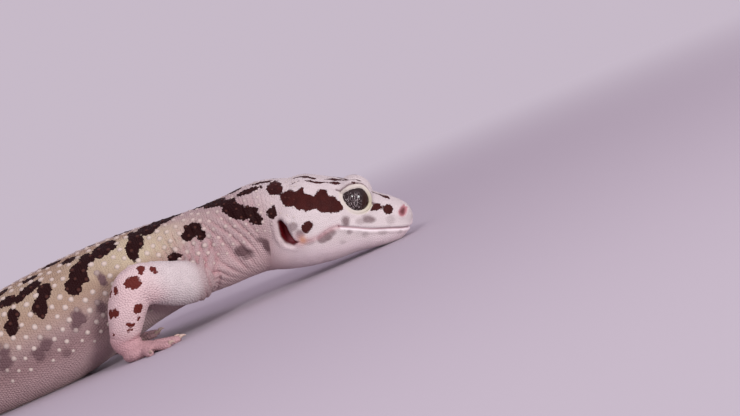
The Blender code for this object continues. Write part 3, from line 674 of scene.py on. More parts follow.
print("lip, nostril and ear, deepest:", [round(float(part.min()), 2) for part in (lip, nostril, ear)])

# %% Eyelids
EYE, EYE_RADIUS = (12.1, 4.75, 6.5), 3.1
GAZE = (math.radians(8), math.radians(8))  # forward and up
# The opening between the lids: degrees round from straight ahead, and how far out from the eye's middle.
LID_OUTLINE = np.array([
    (0, 2.76), (12, 2.64), (34, 2.52), (62, 2.50), (80, 2.30), (98, 2.12), (135, 2.32), (161, 2.80),
    (176, 2.66), (203, 2.28), (240, 2.20), (280, 2.42), (307, 2.68), (331, 2.88), (346, 2.90),
])


def eye_axes(side):
    """The middle of an eye and its three directions: out along its sight, ahead along the lids, and up."""
    ahead, lift = GAZE
    sight = LEFT * side * math.cos(ahead) * math.cos(lift) - BACK * math.sin(ahead) + UP * math.sin(lift)
    front = unit(-BACK - sight * np.dot(-BACK, sight))
    return on_head(EYE[0], side * EYE[1], EYE[2]), sight, front, np.cross(sight, front) * -side


def lid_fields(points, side):
    """Distance from an eye's middle, over its ball from the edge of the opening, and degrees round."""
    middle, sight, front, over = eye_axes(side)
    way = points - middle
    far = np.linalg.norm(way, axis=1)
    way = way / far[:, None]
    round_it = np.degrees(np.arctan2(way @ over, way @ front)) % 360
    edge = np.interp(round_it, *LID_OUTLINE.T, period=360)
    off = np.arccos(np.clip(way @ sight, -1, 1)) - np.arcsin(edge / EYE_RADIUS)
    return far, off * EYE_RADIUS, round_it


# %% Raising the lids
LID_PROFILE = np.array([  # distance from the edge of the opening, height over the eyeball
    (-3.0, -0.45), (-0.12, -0.45), (0.06, 0.34), (0.18, 0.50), (0.38, 0.57), (0.58, 0.48), (0.82, 0.32),
    (1.1, 0.32),
])
LID_WIDTH = 0.76


def lid_share(off, round_it):
    """The distance from the opening, made less over the eye, where the lid's rim is wider."""
    return off / (1 + 0.45 * bell(round_it - 95, 60))


for side in (-1, 1):
    middle = eye_axes(side)[0]
    far, off, round_it = lid_fields(points, side)
    off = lid_share(off, round_it)
    below = bell(round_it - 270, 80)
    hold = step_down(off, 0.80, 1.4 + 0.6 * below) * step_down(far, 4.8, 6.2)
    lifted = EYE_RADIUS + np.interp(off, *LID_PROFILE.T)
    points = points + (points - middle) * (hold * (lifted / far - 1))[:, None]
    far, off, round_it = lid_fields(points, side)
    points = softened(points, 24, band(off, 0.95, 1.25, 2.6, 4.2) * step_down(far, 5.0, 7.5))
    far, off, round_it = lid_fields(points, side)
    groove = 0.22 * bell(lid_share(off, round_it) - LID_WIDTH - 0.08, 0.13) * (far < 6)
    points = points - (points - middle) * (groove / far)[:, None]
points[:, 2] = np.maximum(points[:, 2], 0.0)
place = fields_of(points)
face = face_fields(place)
print("face sculpted")

# %% [markdown]
# ## Markings
# The pattern is a set of dark spots that run together, each one laid down as an oval: where it is, how
# long and how wide. The ovals on the face use the head's frame, those on the body lie so far behind the
# nose and so many degrees round, and those on a limb so far along it. All of them are summed to one
# number at each point, the distance in millimetres to the nearest dark edge, and slow waves make that
# edge ragged. Skin and scales read the same number, so a scale is dark exactly where its skin is.

# %% Where the dark ovals are
FACE_SPOTS = [  # back from the nose, over the mouth, half length, half height
    (25.1, 7.1, 1.9, 1.8), (23.2, 6.9, 1.5, 2.1), (21.2, 6.3, 1.7, 1.5), (18.9, 6.8, 1.7, 2.0),
    (17.1, 5.9, 1.5, 1.6), (15.3, 5.5, 1.0, 1.0), (28.9, 4.3, 1.0, 1.3), (28.5, 8.8, 1.7, 1.1),
    (22.2, 1.3, 0.75, 0.7), (21.4, 2.0, 0.9, 0.85), (7.6, 4.8, 1.25, 0.75), (5.0, 4.4, 1.0, 0.85),
]
CROWN_STREAKS = [  # back from the nose, out from the middle, half width
    [(24.5, 2.2, 0.55), (22.2, 2.5, 0.85), (20.6, 2.8, 0.3)],
    [(26.0, 5.0, 0.12), (20.0, 5.0, 0.25), (17.1, 4.9, 0.30), (15.5, 3.9, 0.45)],
    [(18.2, 3.1, 0.2), (16.6, 2.5, 0.75), (15.2, 1.5, 0.75), (13.6, 0.4, 0.35)],
    [(13.5, 3.9, 0.2), (12.3, 4.3, 0.35), (11.0, 4.6, 0.2)],
    [(12.6, 5.4, 0.2), (11.0, 6.0, 0.35), (10.6, 6.2, 0.15)],
    [(8.9, 1.0, 0.2), (6.8, 1.3, 0.45), (5.6, 1.9, 0.60), (5.0, 2.5, 0.45)],
]
BODY_SPOTS = [  # behind the nose, degrees round, half length, half width
    (31.7, 28, 1.4, 1.1), (33.7, 6, 1.2, 0.8), (30.3, 13, 1.3, 0.9), (40.3, 3, 2.0, 1.3),
    (37.6, 17, 2.2, 1.9), (35.4, 40, 1.6, 2.4), (34.4, 55, 1.4, 1.5), (33.0, 63, 1.5, 1.2),
    (32.2, 73, 1.0, 1.6), (44.0, 49, 2.1, 1.9), (45.9, 54, 1.3, 1.2), (43.0, 60, 1.3, 1.4),
    (50.3, 72, 1.7, 1.1), (46.5, 5, 1.6, 1.2), (49.3, 9, 2.6, 1.9), (52.6, 19, 2.6, 2.1),
    (53.6, 28, 1.2, 1.3), (56.1, 32, 1.6, 3.4), (57.8, 47, 1.3, 2.6), (62.0, 26, 2.1, 2.3),
    (63.6, 31, 1.9, 2.3), (67.1, 35, 1.5, 2.3), (68.6, 43, 1.5, 2.1), (69.9, 49, 1.9, 2.4),
    (71.6, 57, 1.6, 1.9), (77.0, 48, 1.5, 1.7), (77.6, 53, 1.3, 1.6), (79.3, 62, 1.5, 2.0),
    (84.5, 59, 1.2, 2.0), (85.6, 68, 1.3, 1.9), (66.0, 6, 1.6, 0.8), (70.4, 24, 1.9, 1.1),
    (74.5, 12, 2.5, 1.3), (79.4, 24, 2.1, 1.2), (78.6, 36, 1.5, 1.2), (80.4, 40, 2.0, 1.4),
    (82.3, 45, 1.4, 1.1), (84.9, 41, 2.0, 1.6), (85.8, 21, 2.0, 1.3), (58.5, 4, 2.0, 0.8),
]
ARM_SPOTS = [  # on the right arm, in millimetres: x, y, z, radius
    (22.7, -21.4, 14.7, 1.60), (25.0, -19.6, 16.6, 0.85), (24.6, -20.3, 15.9, 0.55),
    (26.9, -18.8, 15.7, 0.85), (27.3, -19.4, 14.8, 0.55), (18.9, -20.2, 14.2, 1.00),
    (17.6, -18.8, 14.0, 0.85), (21.4, -20.8, 9.5, 1.05), (16.8, -20.6, 10.4, 1.00),
    (15.9, -19.8, 10.5, 0.95), (20.6, -20.0, 7.6, 0.50), (18.0, -20.8, 7.5, 0.22),
    (18.5, -20.6, 7.2, 0.25), (19.1, -20.4, 6.9, 0.25), (17.8, -20.5, 6.3, 0.30),
    (18.4, -20.2, 6.0, 0.22), (14.5, -19.4, 6.6, 0.25),
]
LIMB_SPOTS = [  # along another limb, degrees round, half length, half width
    (17.8, 11, 1.5, 1.35), (14.6, 52, 1.3, 0.9), (20.0, 78, 0.9, 1.1), (21.4, -37, 1.1, 1.1),
    (23.6, 39, 1.0, 0.8), (24.6, -44, 0.6, 0.6), (25.6, 0, 0.5, 0.4), (11.5, 5, 1.0, 0.9),
]
HIND_LIMB_SPOTS = [(6.0, 20, 1.4, 1.2), (10.5, 45, 1.2, 1.4), (29.0, 25, 1.0, 1.0), (33.0, 0, 0.9, 0.9)]
SMUDGES = [  # behind the nose, degrees round, half length, half width, strength
    (9.4, 74, 1.2, 0.8, 0.95), (11.3, 78, 0.8, 0.6, 0.45), (14.1, 78, 0.75, 1.0, 1.0),
    (4.8, 78, 0.8, 0.8, 0.35), (19.1, 96, 0.9, 0.7, 0.95), (18.0, 93, 0.9, 0.75, 1.0),
    (17.0, 90, 0.9, 0.6, 0.9), (13.4, 93, 0.6, 0.5, 0.6), (10.1, 99, 0.6, 0.5, 0.4),
    (6.5, 99, 0.8, 0.5, 0.4), (2.8, 110, 0.5, 0.5, 0.4), (14.8, 106, 0.8, 0.5, 0.35),
    (32.2, 111, 1.3, 1.9, 1.2), (36.9, 110, 1.1, 1.6, 1.4), (73.2, 83, 1.5, 1.4, 1.5),
    (74.4, 88, 1.0, 1.0, 1.3), (81.2, 91, 1.4, 1.4, 1.4), (82.9, 95, 1.2, 1.2, 1.3),
    (68.3, 85, 1.0, 1.6, 1.2), (65.7, 63, 0.8, 1.6, 1.4), (89.4, 87, 1.4, 2.6, 1.5),
    (78.3, 105, 0.8, 0.8, 0.8), (21.7, 98, 1.2, 0.5, 0.5), (25.0, 83, 1.1, 0.8, 0.8),
    (23.5, 88, 1.0, 0.8, 0.9),
]
UNDER_ARM = (25.3, 19.6, 9.8)  # the middle of the pink flush under each upper arm
HIND_START, HIND_STRIDE = 92.0, 6.6  # where the rows of spots behind the waist begin, and how far apart
print("spots by hand:", len(FACE_SPOTS), "face,", len(BODY_SPOTS), "body,", len(ARM_SPOTS), "arm")


# %% Spots on the parts that follow a rule
def hind_spots():
    """Spots from the waist to the tail's tip in broken rows, as on the shoulders, smaller on the tail."""
    draw = np.random.default_rng(11)
    spots = []
    for k, base in enumerate(np.arange(HIND_START, BODY_LENGTH - 6, HIND_STRIDE)):
        shrink = np.interp(base, [100, HIPS_AT + 12, BODY_LENGTH], [1.0, 0.85, 0.4])
        for side in (-1, 1):
            for row, wide in ((14, 0.9), (40, 1.5), (66, 1.2)):
                if draw.random() < 0.22:
                    continue
                turned = side * (row + draw.uniform(-7, 7))
                size = draw.uniform(0.85, 1.35) * shrink
                at = base + draw.uniform(-1.6, 1.6) + 1.5 * (k % 2) * (row == 40)
                spots.append((at, turned, 1.5 * size, wide * size * 1.15))
                if draw.random() < 0.6:
                    spots.append((at + 1.4 * size, turned + side * 9, 1.0 * size, 1.4 * size))
    return spots


def mirrored(spots, shift, seed):
    """The other side's spots: the same ones, a little moved and resized."""
    draw = np.random.default_rng(seed)
    found = []
    for at, turned, *sizes in spots:
        sizes = [size * draw.uniform(0.85, 1.2) for size in sizes[:2]] + sizes[2:]
        found.append((at + draw.uniform(-shift, shift), -turned + 3 * draw.uniform(-shift, shift), *sizes))
    return found


body_spots = BODY_SPOTS + mirrored(BODY_SPOTS, 1.2, 3) + hind_spots()
smudges = SMUDGES + mirrored(SMUDGES, 0.8, 4)
limb_spots = {"front_right": []}
for k, limb in enumerate(("front_left", "rear_right", "rear_left")):
    hind = limb.startswith("rear")
    limb_spots[limb] = [(at + 3.0 * hind, *rest) for at, *rest in mirrored(LIMB_SPOTS, 1.2, 20 + k)]
    limb_spots[limb] += HIND_LIMB_SPOTS * hind
print("body spots:", len(body_spots))


# %% The distance to the nearest dark edge
OVAL_BLEND = 0.25  # millimetres over which two ovals run together
DEGREE = math.pi / 180


def ovals(along_it, across_it, scale, spots):
    """Distance in millimetres to the nearest oval; `scale` turns the way across into millimetres."""
    total = np.full(len(along_it), 1e-30)  # over 0, because its logarithm is taken
    for at, over, length, width in spots:
        reach = np.hypot((along_it - at) / length, (across_it - over) * scale / width)
        total += np.exp(-(reach - 1) * math.sqrt(length * width) / OVAL_BLEND)
    return -OVAL_BLEND * np.log(total)


def dark_distance(points, place):
    """Distance in millimetres to the nearest edge of a dark spot, below 0 inside one."""
    b, u, a, far = place["back"], place["over"], place["aside"], np.full(len(points), FAR)
    dark = np.where((b < 31) & (np.abs(a) > 1.5), ovals(b, u, 1.0, FACE_SPOTS), far)
    for streak in CROWN_STREAKS:
        line = to_line(b, np.abs(a + 0.25 * np.sin(b)), streak)
        dark = np.minimum(dark, np.where((u > 3.8) & (b < 31), line, far))
    on_body = (place["on_limb"] < 0.6) & (place["behind"] > 29.5)
    on_trunk = ovals(place["behind"], place["turn"], place["girth"] * DEGREE, body_spots)
    dark = np.minimum(dark, np.where(on_body, on_trunk, far))
    for k, (limb, run) in enumerate(zip(limb_names, fine_runs)):
        thick = np.interp(place["limb_at"], run[:, 4], run[:, 3]) * DEGREE
        mine = (place["limb"] == k) & (place["on_limb"] >= 0.4)
        on_it = ovals(place["limb_at"], place["limb_turn"], thick, limb_spots[limb])
        dark = np.where(mine, np.minimum(dark, on_it), dark)
    for *spot, radius in ARM_SPOTS:
        reach = np.linalg.norm(points - spot, axis=1) - radius
        dark = np.where(place["on_limb"] > 0.4, np.minimum(dark, reach), dark)
    return dark + 0.14 * waves(points, 1.1, 31) + 0.16 * waves(points, 2.6, 32)


# %% All the fields that the markings make
def lid_marks(points):
    """The lids' pale rim, painted shade in the groove round it and the olive tinge in its lower front."""
    lid, groove, tinge = (np.zeros(len(points)) for _ in range(3))
    for side in (-1, 1):
        far, off, round_it = lid_fields(points, side)
        rim = lid_share(off, round_it)
        on_rim = step_down(rim, LID_WIDTH - 0.06, LID_WIDTH + 0.06) * step_down(far, 3.80, 3.95)
        lid = np.maximum(lid, on_rim)
        # painted shade in the groove just outside the pale rim
        groove = np.maximum(groove, bell(rim - LID_WIDTH - 0.14, 0.17) * (far < 4.6))
        tinge = np.maximum(tinge, on_rim * bell((round_it + 195) % 360 - 180, 40))
    return {"lid": lid, "groove": groove, "tinge": tinge}


def markings(points, place, face):
    """Every colour field of the skin: dark edges, smudges, how red, how yellow, lids, red pits, painted
    shade and highlight.
    """
    b, u, a, behind = place["back"], place["over"], place["aside"], place["behind"]
    turned, limb, trunk = np.abs(place["turn"]), place["on_limb"], 1 - place["on_limb"]
    limb_at, hind, cheek = place["limb_at"], place["limb"] > 1, np.abs(a) > 5
    marks = lid_marks(points)
    smudge, ragged = np.zeros(len(points)), 0.25 * waves(points, 0.9, 33)
    for at, over, length, width, strength in smudges:
        reach = np.hypot((behind - at) / length, (place["turn"] - over) * place["girth"] * DEGREE / width)
        smudge = np.maximum(smudge, strength * step_down(reach + ragged, 0.5, 1.5))
    head = step_down(behind + 0.06 * (turned - 60), 25, 34)
    # A limb's root takes the trunk's ground, and its own pale ground starts a little way down.
    own = limb * np.where(hind, step_up(limb_at, 10, 24), step_up(limb_at, 2.5, 7.5))
    flush = limb * bell(np.linalg.norm(np.abs(points) - UNDER_ARM, axis=1), 2.8)
    patchy = 0.5 + 0.35 * waves(points, 5.0, 34)
    yellow = bell(behind - 55, 9) + 0.5 * patchy * step_up(behind, 50, 60)
    lower_limb = step_up(limb_at, 12 + 6 * hind, 20 + 8 * hind)
    # the nostril's painted shade, deepest at its bottom
    nostril = 0.8 * step_down(face["nostril"] + 0.25 * (u - 4.0), -0.60, 0.0)
    rosy = 1.9 * bell(np.maximum(face["nostril"], 0), 0.28)
    rosy = np.maximum(rosy, 0.8 * bell(face["fold"], 0.6) * (b < 24))
    rosy = np.maximum(rosy, bell(np.hypot(b - 23.4, u + 1.3), 1.3) * cheek)
    return marks | {
        "dark": np.where(marks["lid"] > 0.5, 3.0, dark_distance(points, place)),
        "smudge": smudge * trunk * (1 - marks["lid"]),
        # the pits' own red with painted shade in them, near black; they are wet and glossy too
        "wet_and_pit_shade": np.maximum(nostril, step_down(face["ear"], -0.45, 0.0)),
        "pit_glow": bell(np.hypot(b - 24.9, u + 1.3), 0.9) * cheek,
        "mouth": bell(face["mouth"], 0.13) * (behind < 25),
        # the lower lip: glossier, and painted lighter as a highlight
        "lip_gloss_and_highlight": bell(face["lips"] + 0.32, 0.15) * (b < 15) * (behind < 25),
        "rosy": np.minimum(rosy, 1.9) * (behind < 30),
        "amber": bell(np.hypot(b - 22.6, u + 1.0), 0.8) * cheek,
        "chin": head * step_up(turned, 96, 122),
        "rufous": np.clip(0.36 * head + own, 0, 1), "pale": np.maximum(head, own),
        "yellow": np.clip(band(turned, 18, 32, 50, 72) * trunk * yellow, 0, 1),
        "tan": step_up(behind, 44, 58) * step_down(turned, 62, 100) * (1 - own),
        "dusk": step_up(behind, 34, 60) * step_up(turned, 30, 75) * (1 - own),
        # painted shade on the lower flanks and belly, behind the arms
        "shade": band(turned, 78, 105, 135, 160) * step_up(behind, 58, 70) * trunk,
        "spine": step_down(turned, 7, 15) * step_up(behind, 40, 52) * trunk,
        "pink": np.clip(limb * lower_limb + 0.6 * step_up(turned, 88, 125) * trunk + 0.8 * flush, 0, 1),
        "hand": limb * step_up(limb_at, 25.5, 29.5),
    }


colour_fields = markings(points, place, face)
print("dark share:", round(float((colour_fields["dark"] < 0).mean()), 3))

# %% [markdown]
# ## An unwrap of the skin
# So that the finish can be kept as pictures, each point of skin needs a place on a flat sheet. The
# body unrolls like a tin's label, from nose to tail tip and from belly seam round to belly seam. Each
# limb unrolls in the same way beside it, and each foot is laid flat, once from above and once from below.


# %% Unwrap
MARGIN = 0.01  # round the sheet
LIMB_STRIDE, LIMB_ROOM, LIMB_TOP, LIMB_HEIGHT = 0.245, 0.23, 0.55, 0.17  # shares of the sheet
FOOT_TOP, FOOT_ROOM, FOOT_STRIDE = 0.76, 0.12, 0.121
LONGEST_LIMB, WIDEST_FOOT = 50, 32  # millimetres


def charts_of(points, place, normals):
    """0 for the body, 1 to 4 for a limb, 5 to 8 for a foot seen from above, 9 to 12 from below."""
    limb = place["limb"] + 1
    foot = place["limb_at"] > WRIST_AT[place["limb"]]
    limb = np.where(foot, np.where(normals[:, 2] >= 0, limb + 4, limb + 8), limb)
    return np.where(place["on_limb"] > 0.5, limb, 0)


def unwrapped(chart, points, behind, turned, limb_at, limb_turn):
    """Sheet coordinates, given the chart that each point is to be laid out in."""
    k = (chart - 1) % 4
    start = MARGIN + LIMB_STRIDE * k
    body = np.stack([MARGIN + 0.98 * behind / BODY_LENGTH, MARGIN + 0.5 * (turned + 180) / 360], axis=-1)
    limb_up = LIMB_TOP + LIMB_HEIGHT * (limb_turn + 180) / 360
    limb = np.stack([start + LIMB_ROOM * limb_at / LONGEST_LIMB, limb_up], axis=-1)
    ends = np.array([run[-1, :2] for run in fine_runs])[k]
    flat = (points[..., :2] - ends) / WIDEST_FOOT + 0.5
    foot_start = start + FOOT_STRIDE * (chart > 8)
    foot = np.stack([foot_start + FOOT_ROOM * flat[..., 0], FOOT_TOP + FOOT_ROOM * flat[..., 1]], axis=-1)
    return np.where((chart == 0)[..., None], body, np.where((chart < 5)[..., None], limb, foot))


def unrolled(values):
    """Values at a face's corners, without the jump of an angle from 180 to -180."""
    split = np.ptp(values, axis=1, keepdims=True) > 180
    return np.where(split & (values < 0), values + 360, values)


def add_sheet(mesh, corners):
    """The unwrap of a mesh, from the sheet coordinates of each face's corners."""
    layer = mesh.uv_layers.new(name="OFBake")
    layer.data.foreach_set("uv", corners.astype(np.float32).ravel())


def add_fields(mesh, fields):
    """Values that the mesh carries at every point."""
    for name, values in fields.items():
        mesh.attributes.new(name, "FLOAT", "POINT").data.foreach_set("value", np.asarray(values, np.float32))


LAID_OUT = ("behind", "turn", "limb_at", "limb_turn")
normals = normals_of(points)
face_chart = charts_of(points, place, normals)[quads[:, 0]][:, None].repeat(4, axis=1)
sheet = unwrapped(face_chart, points[quads], *(unrolled(place[name][quads]) for name in LAID_OUT))
skin = linked("gecko_skin", mesh_from("gecko_skin", points, quads))
skin.data.shade_smooth()
add_sheet(skin.data, sheet)
DEEP_FOLD = 0.4
depth = dent / DEEP_FOLD
flat = np.zeros(len(points))
add_fields(skin.data, {**colour_fields, "fold": depth, "rise": flat, "tubercle": flat})
print("unwrapped:", sheet.reshape(-1, 2).min(axis=0).round(2), sheet.reshape(-1, 2).max(axis=0).round(2))

# %% [markdown]
# ## Scales
# A gecko's skin is paved with grains half a millimetre across, and taller tubercles stand among them in
# slanting rows. The grains are scattered by Geometry Nodes, which keeps any two of them a set distance
# apart. They are scattered under a weaker fisheye, so that they come out smaller on the face. From the
# neck back, grains and tubercles go on a staggered grid round the body, each found by a ray from the
# spine, and only the tubercles of the hind legs are scattered. Every scale is a small dome sunk in the
# skin, and all the domes of a region are joined in one mesh.


# %% Scattering grains
def scatter_tree():
    """Poisson-spaced points on a mesh, as loose vertices that keep the mesh's attributes."""
    tree = bpy.data.node_groups.new("grains", "GeometryNodeTree")
    tree.interface.new_socket("Geometry", in_out="INPUT", socket_type="NodeSocketGeometry")
    tree.interface.new_socket("Geometry", in_out="OUTPUT", socket_type="NodeSocketGeometry")
    start, end = tree.nodes.new("NodeGroupInput"), tree.nodes.new("NodeGroupOutput")
    spread = tree.nodes.new("GeometryNodeDistributePointsOnFaces")
    spread.distribute_method = "POISSON"
    loose = tree.nodes.new("GeometryNodePointsToVertices")
    tree.links.new(start.outputs[0], spread.inputs["Mesh"])
    tree.links.new(spread.outputs["Points"], loose.inputs[0])
    tree.links.new(loose.outputs[0], end.inputs[0])
    return tree, spread


def read_vectors(mesh, name):
    """The vectors that a mesh carries at its points."""
    values = np.empty(len(mesh.vertices) * 3, np.float32)
    mesh.attributes[name].data.foreach_get("vector", values)
    return values.reshape(-1, 3).astype(float)


def scattered(spacing, seed, power):
    """Places and normals of points that lie at least `spacing` apart, closer by `power` on the head."""
    tree, spread = scatter_tree()
    spread.inputs["Distance Min"].default_value = spacing
    spread.inputs["Density Max"].default_value = 6 / spacing**2
    spread.inputs["Seed"].default_value = seed
    sheet = mesh_from("grains", magnified(points, power), quads, scale=1)
    for name, values in (("home", points), ("out", normals)):
        carried = sheet.attributes.new(name, "FLOAT_VECTOR", "POINT")
        carried.data.foreach_set("vector", values.astype(np.float32).ravel())
    obj = linked("grains", sheet)
    obj.modifiers.new("grains", "NODES").node_group = tree
    mesh = evaluated(obj)
    return read_vectors(mesh, "home"), unit(read_vectors(mesh, "out"))


loose_at, loose_out = scattered(spacing=0.50, seed=5, power=1.6)
print("scattered grains:", len(loose_at))

# %% Tubercles on a staggered grid
skin_tree = BVHTree.FromPolygons([Vector(p) for p in points], quads.tolist())


def ray_out(at, turned):
    """Where a ray from the spine leaves the skin, so far behind the nose, so many degrees from the back."""
    t = math.radians(turned)
    k = min(int(np.searchsorted(along, at)), len(along) - 1)
    share = (at - along[k - 1]) / (along[k] - along[k - 1])
    middle, rise, side = (row[k - 1] + (row[k] - row[k - 1]) * share for row in (centre, up, left))
    way = rise * math.cos(t) - side * math.sin(t)
    hit, out, _, far = skin_tree.ray_cast(Vector(middle), Vector(way))
    if hit is None or far > 1.2 * max(spine[k, 3:5]) or out.dot(Vector(way)) < 0.2:
        return None
    return np.array(hit), np.array(out)


def lattice(start, apart, reach, jitter, seed, flatten=0.87):
    """Staggered rows down the body: the point and normal of each place, how far back it is and round."""
    draw = np.random.default_rng(seed)
    found = []
    row, at = 0, start
    while at < BODY_LENGTH - 3:
        gap = np.interp(at, *apart)
        station = int(np.argmin(np.abs(along - at)))
        stride = math.degrees(gap / spine[station, 3:5].mean())
        most = int(np.interp(at, *reach) / stride)
        for step in range(-most, most + 1):
            turned = (step + 0.5 * (row % 2) + draw.normal(0, jitter)) * stride
            shift = draw.normal(0, jitter) * gap
            ray = ray_out(at + shift, turned)
            if ray is not None:
                found.append((*ray[0], *ray[1], at, turned))
        row += 1
        at += gap * flatten
    return np.array(found)


TAIL_AT, TAIL_TIP = HIPS_AT + 40, BODY_LENGTH
# For each of these, places behind the nose and the values there, in millimetres, and in degrees for a reach.
BUMP_GAP = ([25, 36, 50, 60, HIPS_AT, TAIL_AT, TAIL_TIP], [1.7, 2.0, 2.4, 2.5, 2.4, 2.0, 1.2])
BUMP_SIZE = ([25, 32, 42, 60, HIPS_AT, TAIL_AT, TAIL_TIP], [0.28, 0.42, 0.56, 0.66, 0.62, 0.55, 0.2])
BUMP_REACH = ([25, 45, 60, HIPS_AT, HIPS_AT + 20, TAIL_TIP], [95, 102, 108, 110, 118, 100])
BUMP_RISE = 0.40  # a tubercle's height, as a share of its radius
rows = lattice(25.0, BUMP_GAP, BUMP_REACH, 0.07, seed=8)
draw = np.random.default_rng(9)
edge_fade = np.interp(np.abs(rows[:, 7]), [0, 5, 14, 80, 112], [0.55, 0.7, 1.0, 0.95, 0.6])
size = np.interp(rows[:, 6], *BUMP_SIZE) * edge_fade * draw.uniform(0.88, 1.12, len(rows))
tubercles = np.column_stack([rows[:, :6], size])
leg_at, leg_out = scattered(spacing=2.1, seed=14, power=1.0)
leg = fields_of(leg_at)
on_thigh = (leg["on_limb"] > 0.6) & (leg["limb"] > 1) & (np.abs(leg["limb_turn"]) < 80)
on_thigh &= (leg["limb_at"] > 4) & (leg["limb_at"] < 24)
size = np.interp(leg["limb_at"][on_thigh], [4, 24], [0.52, 0.34])
tubercles = np.vstack([tubercles, np.column_stack([leg_at[on_thigh], leg_out[on_thigh], size])])
tubercles = tubercles[face_fields(fields_of(tubercles[:, :3]))["ear"] > 0.3]
print("tubercles:", len(tubercles), "with", len(size), "on the hind legs")

# %% Grains in rows
GRAIN_GAP = ([NECK_AT - 1, 60, HIPS_AT, TAIL_TIP], [0.50, 0.56, 0.56, 0.46])
ALL_ROUND = ([0, TAIL_TIP], [179, 179])
LEAST_GAP = 0.44  # between a scattered grain and the rows


def tree_of(spots):
    """A search tree of points, which finds the nearest ones fast."""
    tree = KDTree(len(spots))
    for k, spot in enumerate(spots):
        tree.insert(spot[:3], k)
    tree.balance()
    return tree


rows = lattice(NECK_AT, GRAIN_GAP, ALL_ROUND, 0.10, seed=12, flatten=0.90)
row_tree = tree_of(rows)
free = np.array([row_tree.find(spot)[2] for spot in loose_at]) > LEAST_GAP
grain_at = np.vstack([rows[:, :3], loose_at[free]])
grain_out = np.vstack([rows[:, 3:6], loose_out[free]])
print("grains:", len(rows), "in rows,", len(grain_at) - len(rows), "scattered")

# %% Building the domes
GRAIN_RINGS = [(1.0, -1), (0.78, 0.80)]  # radius, height: shares of the scale's own, or -1 for its sunk foot
TUBERCLE_RINGS = [(1.18, -1), (1.02, 0.14), (0.72, 0.62), (0.36, 0.92)]
ROOT_DEPTH = 0.10
COLOUR_JITTER = 0.06  # how far a scale's own colour may stray over a dark edge
PATCH = 0.0015  # half of a scale's patch on the sheet


def domes(at, out, radius, height, sides, rings, seed):
    """Points, triangles and the owner of each point, for one dome on each place."""
    draw = np.random.default_rng(seed)
    aim = unit(np.cross(out, draw.normal(size=(len(at), 3))))
    across = np.cross(out, aim)
    parts = []
    for share, lift in rings:
        for k in range(sides):
            t = 2 * math.pi * k / sides
            spread = radius[:, None] * share * draw.uniform(0.86, 1.08, (len(at), 1))
            rise = height[:, None] * lift if lift > 0 else np.full((len(at), 1), -ROOT_DEPTH)
            parts.append(at + spread * (aim * math.cos(t) + across * math.sin(t)) + out * rise)
    parts.append(at + out * height[:, None])
    count = sides * len(rings) + 1
    solid = np.stack(parts, axis=1).reshape(-1, 3)
    faces = []
    for ring in range(len(rings) - 1):
        for k in range(sides):
            a, b = ring * sides + k, ring * sides + (k + 1) % sides
            faces += [(a, b, b + sides), (a, b + sides, a + sides)]
    top = (len(rings) - 1) * sides
    faces += [(top + k, top + (k + 1) % sides, count - 1) for k in range(sides)]
    faces = (np.array(faces)[None] + np.arange(len(at))[:, None, None] * count).reshape(-1, 3)
    shares = np.repeat([max(lift, 0.0) for _, lift in rings], sides).tolist() + [1.0]
    return solid, faces, count, np.tile(shares, len(at))


# %% Laying scales
def scale_sheet(at, out, place, count, radius, solid):
    """One small patch of the unwrap for each scale, round the place where it is rooted."""
    roots = unwrapped(charts_of(at, place, out), at, *(place[name] for name in LAID_OUT))
    aim = unit(np.cross(out, [0.37, 0.2, 0.91]))
    offset = solid.reshape(-1, count, 3) - at[:, None]
    flat = np.stack([(offset * way[:, None]).sum(axis=2) for way in (aim, np.cross(out, aim))], axis=-1)
    return (roots[:, None] + PATCH * flat / (1.2 * radius)[:, None, None]).reshape(-1, 2)


def lay_scales(name, at, out, radius, height, sides, rings, seed, regions):
    """One joined mesh of domes for each region, with its unwrap and its colour fields."""
    made = []
    spots = fields_of(at)
    marks = markings(at, spots, face_fields(spots))
    marks["dark"] = marks["dark"] + np.random.default_rng(seed).normal(0, COLOUR_JITTER, len(at))
    marks["fold"] = np.array([depth[quads[skin_tree.find_nearest(spot)[2], 0]] for spot in at])
    marks["tubercle"] = np.full(len(at), float(name == "tubercles"))
    for label, chosen in regions(spots).items():
        here = {key: values[chosen] for key, values in spots.items()}
        roots, ways, width = at[chosen], out[chosen], radius[chosen]
        solid, faces, count, rise = domes(roots, ways, width, height[chosen], sides, rings, seed)
        sheet = scale_sheet(roots, ways, here, count, width, solid)
        solid[:, 2] = np.maximum(solid[:, 2], 0.0)
        piece = linked(f"{name}_{label}", mesh_from(f"{name}_{label}", solid, faces))
        piece.data.shade_smooth()
        add_sheet(piece.data, sheet[faces.reshape(-1)])
        add_fields(piece.data, {key: np.repeat(values[chosen], count) for key, values in marks.items()})
        add_fields(piece.data, {"rise": rise})
        made.append(piece)
        print(piece.name, len(faces), "triangles")
    return made


# %% The coat, region by region
def by_region(spots):
    """Scales of the head, of the trunk's and the tail's two sides, and of the limbs."""
    body, behind, right_side = spots["on_limb"] <= 0.5, spots["behind"], spots["turn"] > 0
    regions = {"head": body & (behind < 30)}
    tail_from = HIPS_AT + 12
    for label, start, end in (("front", 30, 80), ("rear", 80, tail_from), ("tail", tail_from, math.inf)):
        stretch = body & (behind >= start) & (behind < end)
        regions[f"{label}_right"], regions[f"{label}_left"] = stretch & right_side, stretch & ~right_side
    return regions | {"limbs": ~body}


def whole_body(spots):
    """All scales as one piece."""
    return {"body": np.full(len(spots["turn"]), True)}


def nearest_gap(at, wanted=3):
    """Mean distance from each grain to its nearest few."""
    tree = tree_of(at)
    return np.array([np.mean([hit[2] for hit in tree.find_n(spot, wanted + 1)[1:]]) for spot in at])


